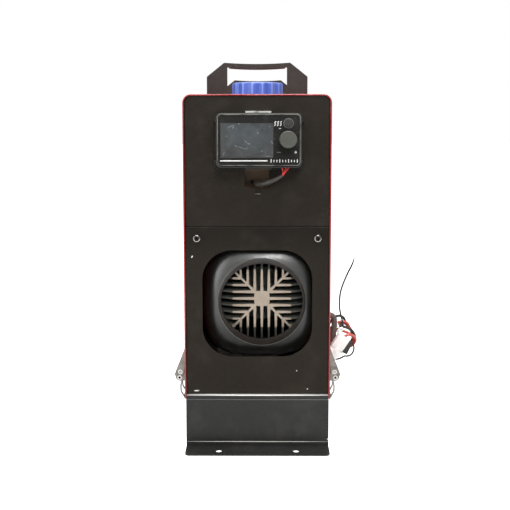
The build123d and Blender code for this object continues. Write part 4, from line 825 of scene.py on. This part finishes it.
def slot_tab():
    """The small tab that closes the notch below the cable slot, just behind the panel."""
    bm = bmesh.new()
    add_box(bm, Vector((1.2, -163.3, 259.4)), (Vector((1, 0, 0)), Vector((0, 1, 0)), Vector((0, 0, 1))), (11.0, 0.9, 8.6))
    return finish_mesh("cable_slot_tab", bm, panel_front, bevel=0.15)


def seam_strip():
    """The lower panel's folded lip, seen in the gap between the two panels."""
    bm = bmesh.new()
    add_box(bm, Vector((0, -164.85, 225.2)), (Vector((1, 0, 0)), Vector((0, 1, 0)), Vector((0, 0, 1))), (137.6, 0.8, 0.36))
    return finish_mesh("panel_seam_lip", bm, panel_front, smooth=False)


seam_strip()


slot_tab()

# ------------------------------------------------------------------ what is on the cords
LONG = Vector((0.542, 0.0, 0.840)).normalized()
WIDE = Vector((0.840, 0.0, -0.542)).normalized()
OUT = Vector((0.0, -1.0, 0.0))
CONN = Vector((89.9, -78.4, 74.0))


def at(centre, u, v, w):
    return centre + LONG * u + WIDE * v + OUT * w


def connector():
    """White two-part plug and socket: ribbed housings, a collar, a latch arm and its nose."""
    ax = (LONG, WIDE, OUT)
    bm = bmesh.new()
    add_box(bm, at(CONN, 7.2, 0, 0), ax, (16.4, 14.0, 8.4))      # socket half
    add_box(bm, at(CONN, -8.4, 0, -0.2), ax, (14.4, 12.6, 7.4))  # plug half
    add_box(bm, at(CONN, -0.3, 0, 0), ax, (2.2, 13.8, 8.2))      # collar where they meet
    add_box(bm, at(CONN, -1.6, 0, 3.7), ax, (10.0, 4.2, 1.1))    # latch arm
    add_box(bm, at(CONN, 3.6, 0, 4.0), ax, (2.0, 5.4, 0.6))      # latch nose
    for v in (-5.2, 5.2):
        add_box(bm, at(CONN, 8.0, v, 4.0), ax, (12.0, 1.0, 0.5))  # guide ribs
        add_box(bm, at(CONN, -9.0, v, 3.4), ax, (10.0, 0.9, 0.6))
    o = finish_mesh("white_connector_body", bm, white_plastic, bevel=0.45)
    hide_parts("white_connector")
    return o


def fuse_body():
    """Black fuse holder: a body with a hinged cap, its strap and the two wire boots."""
    long = Vector((0.4345, 0.0, 0.9007)).normalized()
    wide = Vector((0.9007, 0.0, -0.4345)).normalized()
    c = Vector((101.2, -70.5, 72.2))

    def p(u, v, w):
        return c + long * u + wide * v + OUT * w

    ax = (long, wide, OUT)
    bm = bmesh.new()
    add_box(bm, p(-2.8, 0.7, 0), ax, (9.4, 7.6, 6.2))
    add_box(bm, p(4.6, 0.5, 0), ax, (5.4, 7.4, 6.5))
    add_box(bm, p(0, -2.9, 0), ax, (8.0, 0.6, 3.2))
    add_box(bm, p(-3.0, 0, 3.0), ax, (6.4, 3.0, 0.5))
    add_box(bm, p(7.4, 0, 0), ax, (1.0, 3.4, 3.4))
    add_box(bm, p(-7.6, 0, 0), ax, (0.6, 3.6, 3.6))
    o = finish_mesh("fuse_holder_body", bm, cable_black, bevel=0.5)
    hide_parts("fuse_holder")
    return o


def tie():
    """A white cable tie: a thin band round the wires, and its head, an oval eye, in front of them."""
    a0 = math.radians(113)
    radial = Vector((math.cos(a0), 0, math.sin(a0)))
    along = Vector((-math.sin(a0), 0, math.cos(a0)))
    c = Vector((97.3, -62.2, 83.0)) + radial * 13.8
    bm = bmesh.new()
    count = 64
    rows = []
    for half in (-1.25, 1.25):
        for a, b in ((4.8, 8.2), (4.1, 7.5)) if half < 0 else ((4.1, 7.5), (4.8, 8.2)):
            row = []
            for i in range(count):
                t = 2 * math.pi * i / count
                u, v = math.cos(t), math.sin(t)
                r = ((abs(u) / a) ** 3.2 + (abs(v) / b) ** 3.2) ** (-1 / 3.2)
                row.append(tuple(c + along * half + radial * (r * u) + Vector((0, 1, 0)) * (r * v)))
            rows.append(row)
    rings_to_mesh(bm, rows, close_v=True)
    hc = Vector((94.1, -71.9, 91.5))
    hu = Vector((math.cos(math.radians(38)), 0, math.sin(math.radians(38))))
    hv = Vector((-hu.z, 0, hu.x))
    rows = []
    for y, grow in ((-1.5, -0.35), (-1.2, 0.0), (1.3, 0.0), (1.6, -0.35)):
        rows.append([
            tuple(hc + Vector((0, y, 0)) + hu * ((4.4 + grow) * math.copysign(abs(math.cos(t)) ** 0.8, math.cos(t))) + hv * ((2.15 + grow) * math.copysign(abs(math.sin(t)) ** 0.8, math.sin(t))))
            for t in (2 * math.pi * i / count for i in range(count))
        ])
    for y, grow in ((1.6, 0.2), (1.3, 0.0), (-1.2, 0.0), (-1.5, 0.2)):
        rows.append([
            tuple(hc + Vector((0, y, 0)) + hu * ((2.5 + grow) * math.cos(t)) + hv * ((0.72 + grow) * math.sin(t)))
            for t in (2 * math.pi * i / count for i in range(count))
        ])
    rings_to_mesh(bm, rows, close_v=True)
    # the short neck between the band and the head
    neck = c + radial * -4.3 + Vector((0, -7.2, 0))
    add_box(bm, (neck + hc) * 0.5, (Vector((1, 0, 0)), Vector((0, 1, 0)), Vector((0, 0, 1))), (2.2, abs(neck.y - hc.y) + 1.2, 1.6))
    o = finish_mesh("cable_tie_band", bm, white_plastic, angle=50)
    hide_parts("cable_tie")
    return o


def bare_tip():
    """Tinned strands at the end of the thin wire."""
    a, b = Vector((108.2, -67.0, 166.2)), Vector((110.2, -67.0, 174.2))
    d = (b - a).normalized()
    e = d.cross(Vector((0, 1, 0))).normalized()
    f = d.cross(e)
    bm = bmesh.new()
    for k in range(7):
        t = 2 * math.pi * k / 6
        off = Vector((0, 0, 0)) if k == 6 else e * math.cos(t) * 0.3 + f * math.sin(t) * 0.3
        rows = []
        for s, r in ((0.28, 0.17), (0.7, 0.17), (0.97, 0.15), (1.0, 0.06)):
            q = a + (b - a) * s + off * (1.0 - 0.35 * s)
            rows.append([tuple(q + e * r * math.cos(u) + f * r * math.sin(u)) for u in (2 * math.pi * i / 10 for i in range(10))])
        made = rings_to_mesh(bm, rows)
        bm.faces.new(list(reversed(made[0])))
        bm.faces.new(made[-1])
    return finish_mesh("antenna_wire_tip", bm, steel)


def lead_wires():
    """Three thin red wires between the controller's underside and the mouth of its lead's sheath."""
    made = []
    for i, (x, y, bend) in enumerate(((24.4, -177.2, 0.1), (27.4, -178.2, 0.4), (30.0, -177.0, -0.6))):
        o = cord_line(
            f"controller_lead_wire_{i + 1}",
            [
                (x, y, 286.0), (x + bend * 0.3, y - 0.2, 283.0), (25.2 + 0.9 * i + bend * 0.5, y - 0.4, 280.2),
                (24.7 + 0.75 * i, -177.6 - 0.3 * (i == 1), 277.4 + 0.25 * i), (21.6, -177.2, 274.9),
            ],
            1.5, lead_red,
        )
        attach(o, "case")
        made.append(o)
    return made


conn, fuse, tie_band, tip, thin_wires = connector(), fuse_body(), tie(), bare_tip(), lead_wires()

for cord, slot in (
    (controller_lead, "cable_black"), (lead_sheath, "cable_black"), (antenna, "cable_black"),
    (coil_red, "cable_red"), (coil_black, "cable_black"), (fuse_tail, "cable_black"),
):
    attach(cord, "case")
    print(cord.name, "length mm", round(line_length(cord) * 1000, 1))
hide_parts("controller_lead")
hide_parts("lead_sheath")
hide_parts("antenna_wire")
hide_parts("wire_coil")

# ------------------------------------------------------------------ printed marks of the controller
FACE_Y = -191.2


def print_strip(bm, x0, z0, x1, z1, half):
    """A raised printed stroke with round ends on the controller's face."""
    a, b = Vector((x0, 0, z0)), Vector((x1, 0, z1))
    d = (b - a).normalized() if (b - a).length > 1e-6 else Vector((1, 0, 0))
    side = Vector((-d.z, 0, d.x))
    ring = []
    for k in range(9):
        t = math.radians(-90 + 22.5 * k)
        ring.append(b + d * half * math.cos(t) + side * half * math.sin(t))
    for k in range(9):
        t = math.radians(90 + 22.5 * k)
        ring.append(a + d * half * math.cos(t) + side * half * math.sin(t))
    rows = [[(p.x, FACE_Y + 0.02, p.z) for p in ring], [(p.x, FACE_Y - 0.07, p.z) for p in ring]]
    made = rings_to_mesh(bm, rows)
    bm.faces.new(made[-1])
    bm.faces.new(list(reversed(made[0])))


def controller_print():
    bm = bmesh.new()
    print_strip(bm, -34.55, 291.9, 9.35, 291.9, 0.48)  # line below the screen
    print_strip(bm, 35.9, 300.0, 36.9, 300.0, 0.62)  # plus
    print_strip(bm, 36.4, 299.3, 36.4, 300.8, 0.5)
    # heat sign by the button: three wavy strokes
    for x in (17.0, 19.7, 22.4):
        for (a, b), (c, d) in (((0.65, 1.9), (-0.6, 0.7)), ((-0.6, 0.7), (0.6, -0.7)), ((0.6, -0.7), (-0.6, -1.9))):
            print_strip(bm, x + a, 327.0 + b, x + c, 327.0 + d, 0.38)
    print_strip(bm, 20.9, 322.3, 22.2, 322.3, 0.3)
    # level scale in the lower right corner: plain ticks, every third one taller
    for k in range(10):
        x = 13.2 + 2.75 * k
        tall = 1.45 if k % 3 == 0 else 0.9
        print_strip(bm, x, 291.6 - tall * 0.75, x, 291.6 + tall, 0.36)
    finish_mesh("controller_face_print", bm, print_white, smooth=False)
    bm = bmesh.new()
    print_strip(bm, 18.9, 299.9, 22.1, 299.9, 0.34)  # minus, worn to grey
    return finish_mesh("controller_face_minus", bm, print_grey, smooth=False)


controller_print()

# ------------------------------------------------------------------ stage, light and world
world = bpy.data.worlds.new("studio")
scene.world = world
world.use_nodes = True
wt = world.node_tree
wt.nodes.clear()
w_out = wt.nodes.new("ShaderNodeOutputWorld")
w_mix = wt.nodes.new("ShaderNodeMixShader")
w_path = wt.nodes.new("ShaderNodeLightPath")
w_seen = wt.nodes.new("ShaderNodeBackground")
w_seen.inputs[0].default_value = (1, 1, 1, 1)
w_seen.inputs[1].default_value = 1.0
w_glow = wt.nodes.new("ShaderNodeBackground")
w_coord = wt.nodes.new("ShaderNodeTexCoord")
w_xyz = wt.nodes.new("ShaderNodeSeparateXYZ")
w_ramp = wt.nodes.new("ShaderNodeValToRGB")
wt.links.new(w_coord.outputs["Generated"], w_xyz.inputs[0])
w_map = wt.nodes.new("ShaderNodeMapRange")
wt.links.new(w_xyz.outputs[2], w_map.inputs[0])
w_map.inputs[1].default_value = -1.0
w_map.inputs[2].default_value = 1.0
wt.links.new(w_map.outputs[0], w_ramp.inputs[0])
w_ramp.color_ramp.elements[0].position = 0.45
w_ramp.color_ramp.elements[0].color = (0.38, 0.38, 0.38, 1)
w_ramp.color_ramp.elements[1].position = 0.95
w_ramp.color_ramp.elements[1].color = (0.85, 0.85, 0.85, 1)
middle = w_ramp.color_ramp.elements.new(0.6)
middle.color = (0.42, 0.42, 0.42, 1)
wt.links.new(w_ramp.outputs[0], w_glow.inputs[0])
w_glow.inputs[1].default_value = 0.9
wt.links.new(w_path.outputs["Is Camera Ray"], w_mix.inputs[0])
wt.links.new(w_glow.outputs[0], w_mix.inputs[1])
wt.links.new(w_seen.outputs[0], w_mix.inputs[2])
wt.links.new(w_mix.outputs[0], w_out.inputs[0])


def soft_box(name, place, target, size_x, size_y, power, color=(1, 1, 1)):
    data = bpy.data.lights.new(name, "AREA")
    data.shape = "RECTANGLE"
    data.size, data.size_y = size_x, size_y
    data.energy = power
    data.color = color
    o = bpy.data.objects.new(name, data)
    scene.collection.objects.link(o)
    o.location = place
    o.rotation_euler = (Vector(target) - Vector(place)).to_track_quat("-Z", "Y").to_euler()
    return o


soft_box("overhead_light", (0.0, -0.42, 1.55), (0, -0.1, 0.2), 1.2, 0.9, 30.0)
soft_box("high_front_light", (0.22, -1.5, 1.05), (0, -0.15, 0.19), 0.5, 0.36, 12.0)
soft_box("front_light", (-0.25, -1.9, 0.9), (0, 0, 0.2), 1.0, 0.8, 1.2)
soft_box("back_light", (0.0, 0.6, 1.5), (0, 0, 0.25), 1.2, 0.8, 10.0)
soft_box("left_light", (-1.3, -0.95, 0.55), (0, 0, 0.2), 1.1, 0.95, 11.0)
soft_box("right_light", (1.5, 0.1, 0.5), (0, 0, 0.15), 0.8, 1.0, 4.5)

bm = bmesh.new()
half = 9.0
cuts = 6
bmesh.ops.create_grid(bm, x_segments=cuts, y_segments=cuts, size=half)
floor_data = bpy.data.meshes.new("floor")
bm.to_mesh(floor_data)
bm.free()
floor = bpy.data.objects.new("floor", floor_data)
floor.location = (0, 0, -0.0002)
scene.collection.objects.link(floor)
floor_paint = Paint("floor_finish", spec=0.2, rough=0.8)
floor_paint.join(floor_paint.mix(floor_paint.noise(1.5, 2.0), (0.50, 0.50, 0.50, 1), (0.54, 0.54, 0.54, 1)), "Base Color")
floor_paint.p.inputs["Emission Color"].default_value = (1, 1, 1, 1)
floor_paint.t.links.new(floor_paint.t.nodes.new("ShaderNodeLightPath").outputs["Is Camera Ray"], floor_paint.p.inputs["Emission Strength"])
floor_data.materials.append(floor_paint.m)

scene.view_settings.view_transform = "Standard"
scene.view_settings.look = "None"
